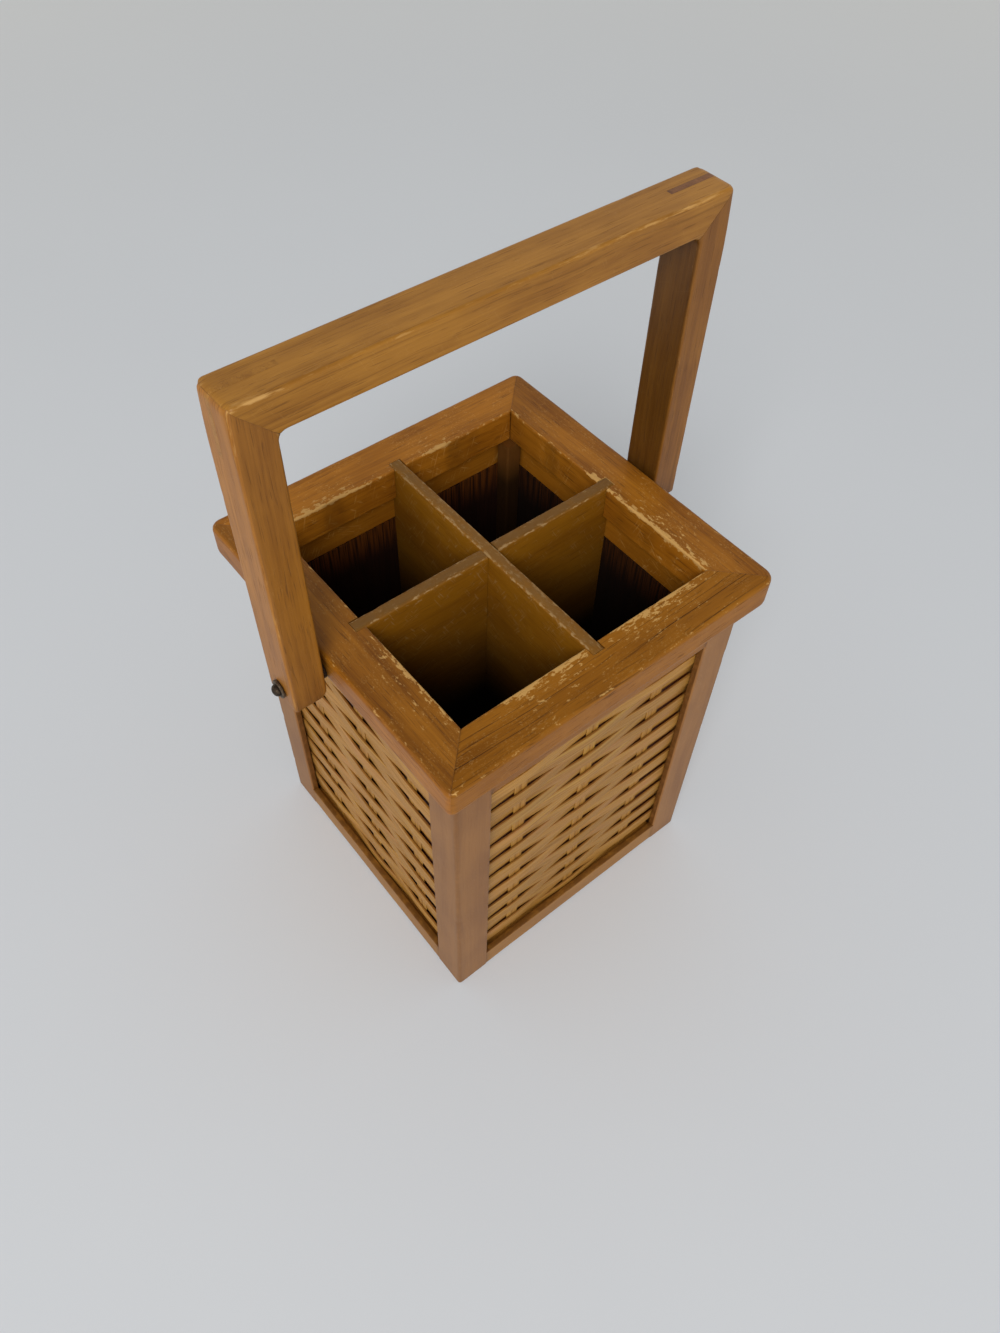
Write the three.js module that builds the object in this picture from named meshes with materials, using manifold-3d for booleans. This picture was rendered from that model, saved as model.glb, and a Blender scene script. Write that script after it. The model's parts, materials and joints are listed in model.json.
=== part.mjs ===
// A wooden utensil caddy in millimetres, +Z up, origin at the middle of its footprint.
// A mitred rim sits on four posts. Woven reed fills the sides in front of thin liner boards,
// crossed dividers make the compartments, and a carrying handle swings on two screws.
import * as THREE from 'three';
import { mergeVertices } from 'three/addons/utils/BufferGeometryUtils.js';
import Module from 'manifold-3d';

const wasm = await Module();
wasm.setup();

// Rim
const rimSide = 160;
const rimWidth = 20;
const rimThickness = 16;
const rimTop = 198;
const rimCornerRadius = 3;
const rimTopEdgeRadius = 1.8;
const rimLowerEdgeRadius = 4;
const rimInnerEdgeRadius = 0.8;
const rimOverhang = 7.5;

// Posts and rails
const postSide = 17;
const postOuterEdgeRadius = 1.5;
const postInnerEdgeRadius = 0.8;
const footHeight = 1;
const upperRailHeight = 17;
const lowerRailHeight = 12.8;
const railLip = 3.2;
const rabbetHeight = 3;
const grooveDepth = 4;
const panelClearance = 0.3;

// Woven mats: weavers are the level reeds, stakes the upright ones
const weaverThickness = 1.1;
const weaverWidth = 7.6;
const weaverPitch = 7.36;
const firstWeaverBelowRailTop = 2.4;
const stakeThickness = 0.7;
const stakeWidth = 6.5;
const stakeSpacing = 36.8;
const stakeClearance = 0.1;
const weaverFlatHalf = 3.6;

// Liners, bottom board and dividers
const linerThickness = 2.5;
const boardThickness = 5;
const boardAboveRailFoot = 2.4;
const boardGrooveDepth = 4;
const boardClearance = 0.4;
const dividerThickness = 5.5;
const dividerNotchDepth = 4.6;
const dividerClearance = 0.2;
const dividerEndClearance = 0.3;
const dividerLapHeight = 104;

// Handle
const handleThickness = 14;
const handleWidth = 18;
const handleEdgeRadius = 1.2;
const handleCornerRadius = 2.4;
const handleRise = 130.8;
const legDrop = 7;
const pivotBelowRimTop = 10.8;
const splineThickness = 2.6;
const splineReach = 22;
const splineOffset = 1.5;
const splineClearance = 0.15;

// Pivot hardware
const shankRadius = 1.6;
const shankClearance = 0.3;
const screwBite = 14;
const screwPointLength = 4;
const headRadius = 2.45;
const headHeight = 2.2;
const washerRadius = 3.8;
const washerThickness = 1;
const spacerRadius = 5;
const spacerThickness = 2.5;
const runningGap = 0.3;

// Smoothness of round shapes
const edgeSegments = 4;
const roundSegments = 20;
const domeSteps = 5;

// A cutter runs this far past the face it opens, and joined boxes share this much
const overrun = 1;

// Places that follow from the sizes above, measured outward from the middle
const rimHalf = rimSide / 2;
const rimInner = rimHalf - rimWidth;
const rimBottom = rimTop - rimThickness;
const bodyHalf = rimHalf - rimOverhang;
const postInner = bodyHalf - postSide;
const lipBack = bodyHalf - railLip;
const matFront = lipBack - panelClearance;
const matThickness = stakeThickness + 2 * (stakeClearance + weaverThickness);
const matMiddle = matFront - matThickness / 2;
const linerFront = matFront - matThickness - panelClearance;
const linerBack = linerFront - linerThickness;
const railInner = linerBack;
const grooveBack = linerBack - panelClearance;
const grooveEnd = postInner + grooveDepth;
const tongueEnd = grooveEnd - panelClearance;
const upperRailBottom = rimBottom - upperRailHeight;
const lowerRailTop = footHeight + lowerRailHeight;
const panelBottom = lowerRailTop - rabbetHeight + panelClearance;
const panelTop = upperRailBottom + rabbetHeight - panelClearance;
const boardBottom = footHeight + boardAboveRailFoot;
const boardTop = boardBottom + boardThickness;
const pivotHeight = rimTop - pivotBelowRimTop;
const legInner = rimHalf + spacerThickness + runningGap;
const legOuter = legInner + handleThickness;
const handleTop = pivotHeight + handleRise;

const sides = ['front', 'right', 'back', 'left'];
const corners = ['front_left', 'front_right', 'back_right', 'back_left'];

const finishes = {
  rim: { color: 0x96663a, roughness: 0.5, metalness: 0 },
  frame: { color: 0x8c6648, roughness: 0.55, metalness: 0 },
  reed: { color: 0xa57f4b, roughness: 0.6, metalness: 0 },
  liner: { color: 0x2c1408, roughness: 0.7, metalness: 0 },
  divider: { color: 0x6b4712, roughness: 0.55, metalness: 0 },
  handle: { color: 0x8f6434, roughness: 0.45, metalness: 0 },
  spline: { color: 0x5e3d2c, roughness: 0.5, metalness: 0 },
  screw: { color: 0x3c3730, roughness: 0.4, metalness: 0.9 },
  washer: { color: 0x7a7064, roughness: 0.45, metalness: 0.9 },
};

function piece(name, geometry, finish) {
  const mesh = new THREE.Mesh(geometry, new THREE.MeshStandardMaterial(finishes[finish]));
  mesh.name = name;
  return mesh;
}

// Closed geometry to a solid that can be joined and cut
function solid(geometry) {
  const bare = geometry.clone();
  bare.deleteAttribute('normal');
  bare.deleteAttribute('uv');
  const merged = mergeVertices(bare);
  return new wasm.Manifold(new wasm.Mesh({
    numProp: 3,
    vertProperties: merged.attributes.position.array,
    triVerts: Uint32Array.from(merged.index.array),
  }));
}

function geometryOf(shapedSolid) {
  const mesh = shapedSolid.getMesh();
  const geometry = new THREE.BufferGeometry();
  geometry.setAttribute('position', new THREE.BufferAttribute(mesh.vertProperties, 3));
  geometry.setIndex(new THREE.BufferAttribute(mesh.triVerts, 1));
  geometry.computeVertexNormals();
  return geometry;
}

function boxBetween([x0, x1], [y0, y1], [z0, z1]) {
  const geometry = new THREE.BoxGeometry(x1 - x0, y1 - y0, z1 - z0);
  return geometry.translate((x0 + x1) / 2, (y0 + y1) / 2, (z0 + z1) / 2);
}

// Outline with right-angled corners, counter-clockwise, each corner given as [u, v, radius]
function outline(points) {
  const shape = new THREE.Shape();
  points.forEach(([u, v, radius = 0], i) => {
    const corner = new THREE.Vector2(u, v);
    const [beforeU, beforeV] = points.at(i - 1);
    const [afterU, afterV] = points[(i + 1) % points.length];
    const back = new THREE.Vector2(beforeU, beforeV).sub(corner).setLength(radius);
    const ahead = new THREE.Vector2(afterU, afterV).sub(corner).setLength(radius);
    const start = corner.clone().add(back);
    if (i === 0) {
      shape.moveTo(start.x, start.y);
    } else {
      shape.lineTo(start.x, start.y);
    }
    if (radius > 0) {
      const centre = start.clone().add(ahead);
      const from = Math.atan2(-ahead.y, -ahead.x);
      const to = Math.atan2(-back.y, -back.x);
      shape.absarc(centre.x, centre.y, radius, from, to, false);
    }
  });
  return shape;
}

function rectangle(u0, u1, v0, v1, radius = 0) {
  return outline([[u0, v0, radius], [u1, v0, radius], [u1, v1, radius], [u0, v1, radius]]);
}

function extrude(shape, depth) {
  return new THREE.ExtrudeGeometry(shape, { depth, bevelEnabled: false, curveSegments: edgeSegments });
}

// Shape drawn in Y and Z, carried along X
function alongX(shape, x0, x1) {
  const turn = new THREE.Matrix4().set(0, 0, 1, x0, 1, 0, 0, 0, 0, 1, 0, 0, 0, 0, 0, 1);
  return extrude(shape, x1 - x0).applyMatrix4(turn);
}

// Shape drawn in X and Z, carried along Y
function alongY(shape, y0, y1) {
  const turn = new THREE.Matrix4().set(1, 0, 0, 0, 0, 0, -1, y1, 0, 1, 0, 0, 0, 0, 0, 1);
  return extrude(shape, y1 - y0).applyMatrix4(turn);
}

function alongZ(shape, z0, z1) {
  return extrude(shape, z1 - z0).translate(0, 0, z0);
}

// Moves every vertex of a geometry to the place that the rule gives for it
function moveVertices(geometry, rule) {
  const position = geometry.attributes.position;
  for (let i = 0; i < position.count; i += 1) {
    position.setXYZ(i, ...rule(position.getX(i), position.getY(i), position.getZ(i)));
  }
  return geometry;
}

// Solid of revolution about the Y axis through the pivot, from a profile of [radius, y] points
function turnedAtPivot(profile) {
  const points = profile.map(([radius, y]) => new THREE.Vector2(radius, y));
  return new THREE.LatheGeometry(points, roundSegments).translate(0, 0, pivotHeight);
}

function ring(innerRadius, outerRadius, y0, y1) {
  const profile = [[innerRadius, y0], [outerRadius, y0], [outerRadius, y1], [innerRadius, y1], [innerRadius, y0]];
  return turnedAtPivot(profile);
}

// Front rim rail: its section runs along X, and both ends are mitred where |x| equals |y|
function rimRail(side) {
  const section = outline([
    [-rimHalf, rimBottom, rimLowerEdgeRadius],
    [-rimInner, rimBottom],
    [-rimInner, rimTop, rimInnerEdgeRadius],
    [-rimHalf, rimTop, rimTopEdgeRadius],
  ]);
  const mitred = moveVertices(alongX(section, -1, 1), (x, y, z) => [-x * y, y, z]);
  const plan = rectangle(-rimHalf, rimHalf, -rimHalf, rimHalf, rimCornerRadius);
  const notchHalf = dividerThickness / 2 + dividerClearance;
  const notchY = [-rimInner - dividerNotchDepth, -rimInner + overrun];
  const notch = boxBetween([-notchHalf, notchHalf], notchY, [rimBottom - overrun, rimTop + overrun]);
  let rail = solid(mitred).intersect(solid(alongZ(plan, rimBottom - overrun, rimTop + overrun)));
  rail = rail.subtract(solid(notch));
  if (side === 'left' || side === 'right') {
    const pilotLength = screwBite + shankClearance + overrun;
    const pilotRadius = shankRadius + shankClearance;
    const pilot = new THREE.CylinderGeometry(pilotRadius, pilotRadius, pilotLength, roundSegments);
    pilot.translate(0, -rimHalf - overrun + pilotLength / 2, pivotHeight);
    rail = rail.subtract(solid(pilot));
  }
  return piece(`${side}_rim_rail`, geometryOf(rail), 'rim');
}

// A rail between two posts, with a tongue at each end that fits the posts' grooves
function grooveRail(section, tongueBack, tongueBottom, tongueTop) {
  let rail = solid(alongX(section, -postInner, postInner));
  for (const end of [-1, 1]) {
    const tongueX = [end * (postInner - overrun), end * tongueEnd].sort((a, b) => a - b);
    const tongue = boxBetween(tongueX, [-matFront, -tongueBack], [tongueBottom, tongueTop]);
    rail = rail.add(solid(tongue));
  }
  return geometryOf(rail);
}

// The upper rail's inner lower edge is cut away for the mat and liner
function upperRail(side) {
  const section = outline([
    [-bodyHalf, upperRailBottom],
    [-lipBack, upperRailBottom],
    [-lipBack, upperRailBottom + rabbetHeight],
    [-railInner, upperRailBottom + rabbetHeight],
    [-railInner, rimBottom],
    [-bodyHalf, rimBottom],
  ]);
  const geometry = grooveRail(section, railInner, upperRailBottom + rabbetHeight, rimBottom);
  return piece(`${side}_upper_rail`, geometry, 'frame');
}

// The lower rail also has a groove on its inner face for the bottom board
function lowerRail(side) {
  const boardGrooveBack = railInner + boardGrooveDepth;
  const section = outline([
    [-bodyHalf, footHeight],
    [-railInner, footHeight],
    [-railInner, boardBottom],
    [-boardGrooveBack, boardBottom],
    [-boardGrooveBack, boardTop + boardClearance],
    [-railInner, boardTop + boardClearance],
    [-railInner, lowerRailTop - rabbetHeight],
    [-lipBack, lowerRailTop - rabbetHeight],
    [-lipBack, lowerRailTop],
    [-bodyHalf, lowerRailTop],
  ]);
  const geometry = grooveRail(section, boardGrooveBack, footHeight, lowerRailTop - rabbetHeight);
  return piece(`${side}_lower_rail`, geometry, 'frame');
}

// Plan of one weaver: it passes outside the outer stakes and inside the middle one, or the reverse
function weaverPlan(middleSwing) {
  const swing = (stakeThickness + weaverThickness) / 2 + stakeClearance;
  const outerY = -matMiddle + middleSwing * swing;
  const middleY = -matMiddle - middleSwing * swing;
  const rampEnd = stakeSpacing - weaverFlatHalf;
  const path = [
    [-tongueEnd, outerY],
    [-rampEnd, outerY],
    [-weaverFlatHalf, middleY],
    [weaverFlatHalf, middleY],
    [rampEnd, outerY],
    [tongueEnd, outerY],
  ];
  const outside = path.map(([x, y]) => new THREE.Vector2(x, y - weaverThickness / 2));
  const inside = path.map(([x, y]) => new THREE.Vector2(x, y + weaverThickness / 2));
  return new THREE.Shape([...outside, ...inside.reverse()]);
}

// Weavers meet their neighbours where they cross, and the mat is cut to the height that the rails leave
function wovenMat(side) {
  const firstMiddle = lowerRailTop - firstWeaverBelowRailTop;
  const weaverCount = Math.ceil((panelTop - firstMiddle - weaverWidth / 2) / weaverPitch) + 1;
  let mat = null;
  for (let i = 0; i < weaverCount; i += 1) {
    const bottom = firstMiddle + i * weaverPitch - weaverWidth / 2;
    const middleSwing = i % 2 === 0 ? 1 : -1;
    const weaver = solid(alongZ(weaverPlan(middleSwing), bottom, bottom + weaverWidth));
    mat = mat === null ? weaver : mat.add(weaver);
  }
  const room = boxBetween([-bodyHalf, bodyHalf], [-bodyHalf, 0], [panelBottom, panelTop]);
  return piece(`${side}_woven_mat`, geometryOf(mat.intersect(solid(room))), 'reed');
}

function stake(side, number) {
  const x = (number - 2) * stakeSpacing;
  const half = stakeWidth / 2;
  const stakeY = [-matMiddle - stakeThickness / 2, -matMiddle + stakeThickness / 2];
  const geometry = boxBetween([x - half, x + half], stakeY, [panelBottom, panelTop]);
  return piece(`${side}_stake_${number}`, geometry, 'reed');
}

function liner(side) {
  const geometry = boxBetween([-tongueEnd, tongueEnd], [-linerFront, -linerBack], [panelBottom, panelTop]);
  return piece(`${side}_liner`, geometry, 'liner');
}

// Front left post, with a groove for each of the two panels that it holds
function post(corner) {
  const section = outline([
    [-bodyHalf, -bodyHalf, postOuterEdgeRadius],
    [-postInner, -bodyHalf, postInnerEdgeRadius],
    [-postInner, -postInner, postInnerEdgeRadius],
    [-bodyHalf, -postInner, postInnerEdgeRadius],
  ]);
  const across = [-grooveEnd, -postInner + overrun];
  const width = [-lipBack, -grooveBack];
  const height = [footHeight, rimBottom + overrun];
  let shaped = solid(alongZ(section, 0, rimBottom));
  shaped = shaped.subtract(solid(boxBetween(across, width, height)));
  shaped = shaped.subtract(solid(boxBetween(width, across, height)));
  return piece(`${corner}_post`, geometryOf(shaped), 'frame');
}

// The bottom board reaches into the lower rails and is notched round the posts
function bottomBoard() {
  const reach = railInner + boardGrooveDepth - panelClearance;
  const notch = postInner - panelClearance;
  const plan = outline([
    [-notch, -reach], [notch, -reach], [notch, -notch], [reach, -notch],
    [reach, notch], [notch, notch], [notch, reach], [-notch, reach],
    [-notch, notch], [-reach, notch], [-reach, -notch], [-notch, -notch],
  ]);
  return piece('bottom_board', alongZ(plan, boardBottom, boardTop), 'liner');
}

// Both dividers have ears let into the rim, and a slot where they cross
const dividerReach = railInner - dividerEndClearance;
const earReach = rimInner + dividerNotchDepth - dividerClearance;
const slotHalf = dividerThickness / 2 + dividerClearance;

function crosswiseDivider() {
  const profile = outline([
    [-dividerReach, boardTop], [-slotHalf, boardTop],
    [-slotHalf, dividerLapHeight], [slotHalf, dividerLapHeight],
    [slotHalf, boardTop], [dividerReach, boardTop],
    [dividerReach, rimBottom], [earReach, rimBottom],
    [earReach, rimTop], [-earReach, rimTop],
    [-earReach, rimBottom], [-dividerReach, rimBottom],
  ]);
  const geometry = alongX(profile, -dividerThickness / 2, dividerThickness / 2);
  return piece('crosswise_divider', geometry, 'divider');
}

function lengthwiseDivider() {
  const slotBottom = dividerLapHeight - dividerClearance;
  const profile = outline([
    [-dividerReach, boardTop], [dividerReach, boardTop],
    [dividerReach, rimBottom], [earReach, rimBottom],
    [earReach, rimTop], [slotHalf, rimTop],
    [slotHalf, slotBottom], [-slotHalf, slotBottom],
    [-slotHalf, rimTop], [-earReach, rimTop],
    [-earReach, rimBottom], [-dividerReach, rimBottom],
  ]);
  const geometry = alongY(profile, -dividerThickness / 2, dividerThickness / 2);
  return piece('lengthwise_divider', geometry, 'divider');
}

// Triangle across a top corner of the handle, grown beyond the handle and drawn back from its slot
function cornerTriangle(end, grow, drawBack) {
  const top = handleTop + grow;
  const outer = legOuter + grow;
  const inner = legOuter - splineReach - grow + drawBack;
  const low = handleTop - splineReach - grow + drawBack;
  const triangle = [[inner, top], [outer, low], [outer, top]];
  return new THREE.Shape(triangle.map(([x, z]) => new THREE.Vector2(end * x, z)));
}

// Rounds the handle's two top corners off
function cornersRounded(shaped) {
  const low = pivotHeight - legDrop - handleCornerRadius - overrun;
  const face = rectangle(-legOuter, legOuter, low, handleTop, handleCornerRadius);
  return shaped.intersect(solid(alongY(face, -handleWidth / 2, handleWidth / 2)));
}

function splineSlot(end) {
  const half = splineThickness / 2 + splineClearance;
  return alongY(cornerTriangle(end, overrun, 0), splineOffset - half, splineOffset + half);
}

function spline(side, end) {
  const half = splineThickness / 2;
  const drawBack = splineClearance * Math.SQRT2;
  const geometry = alongY(cornerTriangle(end, 0, drawBack), splineOffset - half, splineOffset + half);
  return piece(`handle_${side}_spline`, geometryOf(cornersRounded(solid(geometry))), 'spline');
}

// The bar's ends are mitred from the outer top corners to the inner ones
function handleBar() {
  const half = handleWidth / 2;
  const section = rectangle(-half, half, handleTop - handleThickness, handleTop, handleEdgeRadius);
  const mitred = moveVertices(
    alongX(section, -1, 1),
    (x, y, z) => [x * (legOuter - (handleTop - z)), y, z],
  );
  const bar = solid(mitred).subtract(solid(splineSlot(-1))).subtract(solid(splineSlot(1)));
  return piece('handle_bar', geometryOf(cornersRounded(bar)), 'handle');
}

function handleLeg(side, end) {
  const half = handleWidth / 2;
  const legX = [end * legInner, end * legOuter].sort((a, b) => a - b);
  const section = rectangle(...legX, -half, half, handleEdgeRadius);
  const legBottom = pivotHeight - legDrop;
  const mitred = moveVertices(
    alongZ(section, legBottom, handleTop),
    (x, y, z) => [x, y, z < pivotHeight ? z : handleTop - (legOuter - Math.abs(x))],
  );
  const boreRadius = shankRadius + shankClearance;
  const boreLength = handleThickness + 2 * overrun;
  const bore = new THREE.CylinderGeometry(boreRadius, boreRadius, boreLength, roundSegments);
  bore.rotateZ(Math.PI / 2).translate(end * (legInner + legOuter) / 2, 0, pivotHeight);
  const leg = solid(mitred).subtract(solid(splineSlot(end))).subtract(solid(bore));
  return piece(`handle_${side}_leg`, geometryOf(cornersRounded(leg)), 'handle');
}

// Screw, outer washer and spacer of one pivot, drawn with outward as -Y
function pivotHardware(side) {
  const washerInside = legOuter + runningGap;
  const headInside = washerInside + washerThickness;
  const screwEnd = rimHalf - screwBite;
  const profile = [[0, -screwEnd], [shankRadius, -screwEnd - screwPointLength], [shankRadius, -headInside]];
  for (let i = 0; i <= domeSteps; i += 1) {
    const angle = (i / domeSteps) * (Math.PI / 2);
    profile.push([headRadius * Math.cos(angle), -headInside - headHeight * Math.sin(angle)]);
  }
  const screw = turnedAtPivot(profile.reverse());
  const hole = shankRadius + shankClearance;
  return [
    piece(`${side}_pivot_screw`, screw, 'screw'),
    piece(`${side}_outer_washer`, ring(hole, washerRadius, -headInside, -washerInside), 'washer'),
    piece(`${side}_spacer_washer`, ring(hole, spacerRadius, -rimHalf - spacerThickness, -rimHalf), 'washer'),
  ];
}

const caddy = new THREE.Group();

// Each side is drawn as the front and turned into place, and so is each post
sides.forEach((side, turn) => {
  const wall = new THREE.Group();
  wall.rotation.z = turn * Math.PI / 2;
  wall.add(rimRail(side), upperRail(side), lowerRail(side), wovenMat(side), liner(side));
  wall.add(stake(side, 1), stake(side, 2), stake(side, 3));
  wall.add(post(corners[turn]));
  if (side === 'left' || side === 'right') {
    wall.add(...pivotHardware(side));
  }
  caddy.add(wall);
});

caddy.add(bottomBoard(), crosswiseDivider(), lengthwiseDivider());

const handle = new THREE.Group();
handle.add(handleBar());
handle.add(handleLeg('left', -1), handleLeg('right', 1));
handle.add(spline('left', -1), spline('right', 1));
caddy.add(handle);

export default caddy;
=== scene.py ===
import json
import math

import bpy
import numpy as np
from mathutils import Matrix, Vector


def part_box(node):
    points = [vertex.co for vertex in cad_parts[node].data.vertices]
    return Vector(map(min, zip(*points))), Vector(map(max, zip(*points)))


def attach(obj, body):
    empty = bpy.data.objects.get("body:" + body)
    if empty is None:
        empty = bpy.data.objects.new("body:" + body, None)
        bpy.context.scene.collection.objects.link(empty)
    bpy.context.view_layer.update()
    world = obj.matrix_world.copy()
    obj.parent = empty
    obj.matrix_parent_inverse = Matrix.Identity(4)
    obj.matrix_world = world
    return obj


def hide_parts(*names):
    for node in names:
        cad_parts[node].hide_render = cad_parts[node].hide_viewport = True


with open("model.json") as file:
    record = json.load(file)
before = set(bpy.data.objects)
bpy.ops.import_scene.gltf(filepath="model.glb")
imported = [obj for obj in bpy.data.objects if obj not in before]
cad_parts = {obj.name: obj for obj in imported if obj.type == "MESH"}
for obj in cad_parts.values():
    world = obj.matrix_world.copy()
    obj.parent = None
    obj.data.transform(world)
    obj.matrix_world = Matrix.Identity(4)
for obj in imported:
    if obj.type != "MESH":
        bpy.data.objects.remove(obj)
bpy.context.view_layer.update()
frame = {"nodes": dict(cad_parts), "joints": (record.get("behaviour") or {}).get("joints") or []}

# A wooden utensil caddy with woven reed sides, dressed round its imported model.
# Metres, +Z up, the front is -Y. The four sides are drawn as the front and turned into place.
mm = 0.001
slack = 0.3 * mm     # what panels and boards leave free in their grooves
hair = 0.02 * mm     # how far the stations at a wall stand to its two sides
sharpAngle = math.radians(38)     # faces that meet at more than this keep a crisp edge
sideNames = ("front", "right", "back", "left")
cornerNames = ("front_left", "front_right", "back_right", "back_left")
print("frame loaded:", len(frame["nodes"]), "nodes")


# Numpy helpers

def boxOf(node):
    low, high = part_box(node)
    return np.array(low), np.array(high)


def turned(points, quarters):
    # (x, y) becomes (-y, x) once for each quarter turn about Z
    c, s = ((1, 0), (0, 1), (-1, 0), (0, -1))[quarters]
    return points @ np.array([[c, -s, 0], [s, c, 0], [0, 0, 1]]).T


def limited(values):
    return np.clip(values, 0, 1)


def stacked(*parts):
    # coordinates from arrays that are first spread to one shape
    return np.stack(np.broadcast_arrays(*parts), -1)


def fading(distance, reach):
    return np.exp(-distance / reach)


def waver(at, seed, length):
    # six sines of lengths near the one given, with seeded phases, summed to about -1..1
    draw = np.random.default_rng(seed)
    lengths = length * draw.uniform(0.55, 1.9, 6)
    phases = draw.uniform(0, 2 * np.pi, 6)
    return np.sin(2 * np.pi * np.asarray(at)[..., None] / lengths + phases).sum(-1) / 3


def peaks(at, seed, length, level):
    # how far the waver rises above a level
    return limited(waver(at, seed, length) - level)


def bump(at, stretches):
    # 1 on the worn stretches, given as (middle, half length), easing to 0 beside them
    spread = [np.exp(-((at - middle) / half) ** 4) for middle, half in stretches]
    return np.max(spread, axis=0) if spread else np.zeros_like(at)


def unit(vectors):
    return vectors / np.linalg.norm(vectors, axis=-1, keepdims=True)


def roundedOutline(corners, radii, arcSteps=5, flatStep=1.6 * mm):
    # quarter arcs c + r(back + ahead) - r(ahead cos a + back sin a) at right-angled corners,
    # joined by flats whose points crowd towards the arcs
    corners = np.array(corners, float)
    count = len(corners)
    radii = np.broadcast_to(radii, count)
    back = unit(np.roll(corners, 1, 0) - corners)
    ahead = unit(np.roll(corners, -1, 0) - corners)
    angle = np.linspace(0, np.pi / 2, arcSteps + 1)[:, None]
    parts = []
    for k in range(count):
        after = (k + 1) % count
        middle = corners[k] + radii[k] * (back[k] + ahead[k])
        arc = middle - radii[k] * (ahead[k] * np.cos(angle) + back[k] * np.sin(angle))
        flatEnd = corners[after] + radii[after] * back[after]
        splits = max(2, round(np.linalg.norm(flatEnd - arc[-1]) / flatStep))
        share = (1 - np.cos(np.pi * np.arange(1, splits) / splits)) / 2
        parts += [arc, arc[-1] + (flatEnd - arc[-1]) * share[:, None]]
    return np.vstack(parts)


def drawnIn(outline, depth):
    # moves a counter-clockwise outline inward by a depth for each station and point,
    # along the mean of the right-hand normals of the two edges at each point
    edge = np.roll(outline, -1, 0) - outline
    side = unit(np.stack([edge[:, 1], -edge[:, 0]], -1))
    normal = unit(side + np.roll(side, 1, 0))
    return outline - normal * depth[..., None]


def nearTo(outline, corner, reach):
    # 1 at a corner of the outline, fading with the distance from it
    return fading(np.linalg.norm(outline - np.array(corner), axis=1), reach)


def roundShell(u, v, radius):
    # within a corner of this radius square shells become round ones:
    # p = c - (c - p) max(c - p) / |c - p|, with u and v measured inward from the two faces
    inside = (u < radius) & (v < radius)
    du, dv = np.where(inside, radius - u, 1), np.where(inside, radius - v, 0)
    factor = np.maximum(du, dv) / np.maximum(np.hypot(du, dv), 1e-12)
    return np.where(inside, radius - du * factor, u), np.where(inside, radius - dv * factor, v)


def roundedEnds(low, high, step, radius, arcSteps=4):
    # places along a piece, and how far its outline is drawn in there:
    # r(1 - sin a) at a distance of r(1 - cos a) from an end
    angle = np.linspace(0, np.pi / 2, arcSteps + 1)
    fromEnd, inset = radius * (1 - np.cos(angle)), radius * (1 - np.sin(angle))
    splits = max(2, round((high - low - 2 * radius) / step))
    middle = np.linspace(low + radius, high - radius, splits + 1)[1:-1]
    along = np.concatenate([low + fromEnd, middle, (high - fromEnd)[::-1]])
    return along, np.concatenate([inset, np.zeros(len(middle)), inset[::-1]])


def fanned(straight, end, share):
    # stations that turn from square at the end of the straight stretch to the mitre, where the share is 0
    return straight + (1 - share[:, None]) * (end - straight)


def bothWays(fan, middle):
    # a fan at each end of the straight stations
    return np.vstack([-fan[::-1], np.repeat(middle[:, None], fan.shape[1], 1), fan])


def seamDip(gap, depth):
    # a small bevel along a mitre
    return depth * limited(1 - gap / (2 * depth))


def facesOf(shape, ringed):
    # quads between neighbouring rows, closed round each row,
    # with a cap at both ends unless the rows form a ring
    count, rows, cols = shape
    index = np.arange(count * rows * cols, dtype=np.int32).reshape(shape)
    caps = np.empty((0, cols), np.int32) if ringed else np.concatenate([index[:, 0, ::-1], index[:, -1]])
    if ringed:
        index = np.concatenate([index, index[:, :1]], axis=1)
    after = np.roll(index, -1, axis=2)
    quads = np.stack([index[:, :-1], after[:, :-1], after[:, 1:], index[:, 1:]], -1).reshape(-1, 4)
    return quads, caps


def volumeOf(points, quads, caps):
    # sum of a . (b x c) / 6 over triangles fanned from each face's first corner
    def fans(faces):
        a, b, c = points[faces[:, :1]], points[faces[:, 1:-1]], points[faces[:, 2:]]
        return (a * np.cross(b, c)).sum()
    return (fans(quads) + fans(caps)) / 6 if len(caps) else fans(quads) / 6


def makePiece(name, grids, fields, finish, body, nodes, ringed=False):
    # grids is rows x around x 3, or several such stacked; fields are values for each point
    grids = grids if grids.ndim == 4 else grids[None]
    shape = grids.shape[:3]
    points = grids.reshape(-1, 3)
    quads, caps = facesOf(shape, ringed)
    if volumeOf(points - points.mean(0), quads, caps) < 0:
        quads, caps = quads[:, ::-1], caps[:, ::-1]
    mesh = bpy.data.meshes.new(name)
    corners = np.concatenate([quads.ravel(), caps.ravel()]).astype(np.int32)
    sizes = np.concatenate([np.full(len(quads), 4), np.full(len(caps), shape[2])])
    starts = np.concatenate([[0], np.cumsum(sizes)[:-1]]).astype(np.int32)
    mesh.vertices.add(len(points))
    mesh.vertices.foreach_set("co", points.astype(np.float32).ravel())
    mesh.loops.add(len(corners))
    mesh.loops.foreach_set("vertex_index", corners)
    mesh.polygons.add(len(sizes))
    mesh.polygons.foreach_set("loop_start", starts)
    mesh.polygons.foreach_set("use_smooth", np.ones(len(sizes), bool))
    mesh.update(calc_edges=True)
    mesh.set_sharp_from_angle(angle=sharpAngle)
    for fieldName, values in fields.items():
        kind, part, spread = "FLOAT", "value", shape
        if fieldName == "grain":
            kind, part, spread = "FLOAT_VECTOR", "vector", grids.shape
        values = np.broadcast_to(values, spread).astype(np.float32)
        mesh.attributes.new(fieldName, kind, "POINT").data.foreach_set(part, values.ravel())
    mesh.materials.append(finish)
    piece = bpy.data.objects.new(name, mesh)
    bpy.context.scene.collection.objects.link(piece)
    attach(piece, body)
    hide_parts(*nodes)


# Shader helpers

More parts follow.
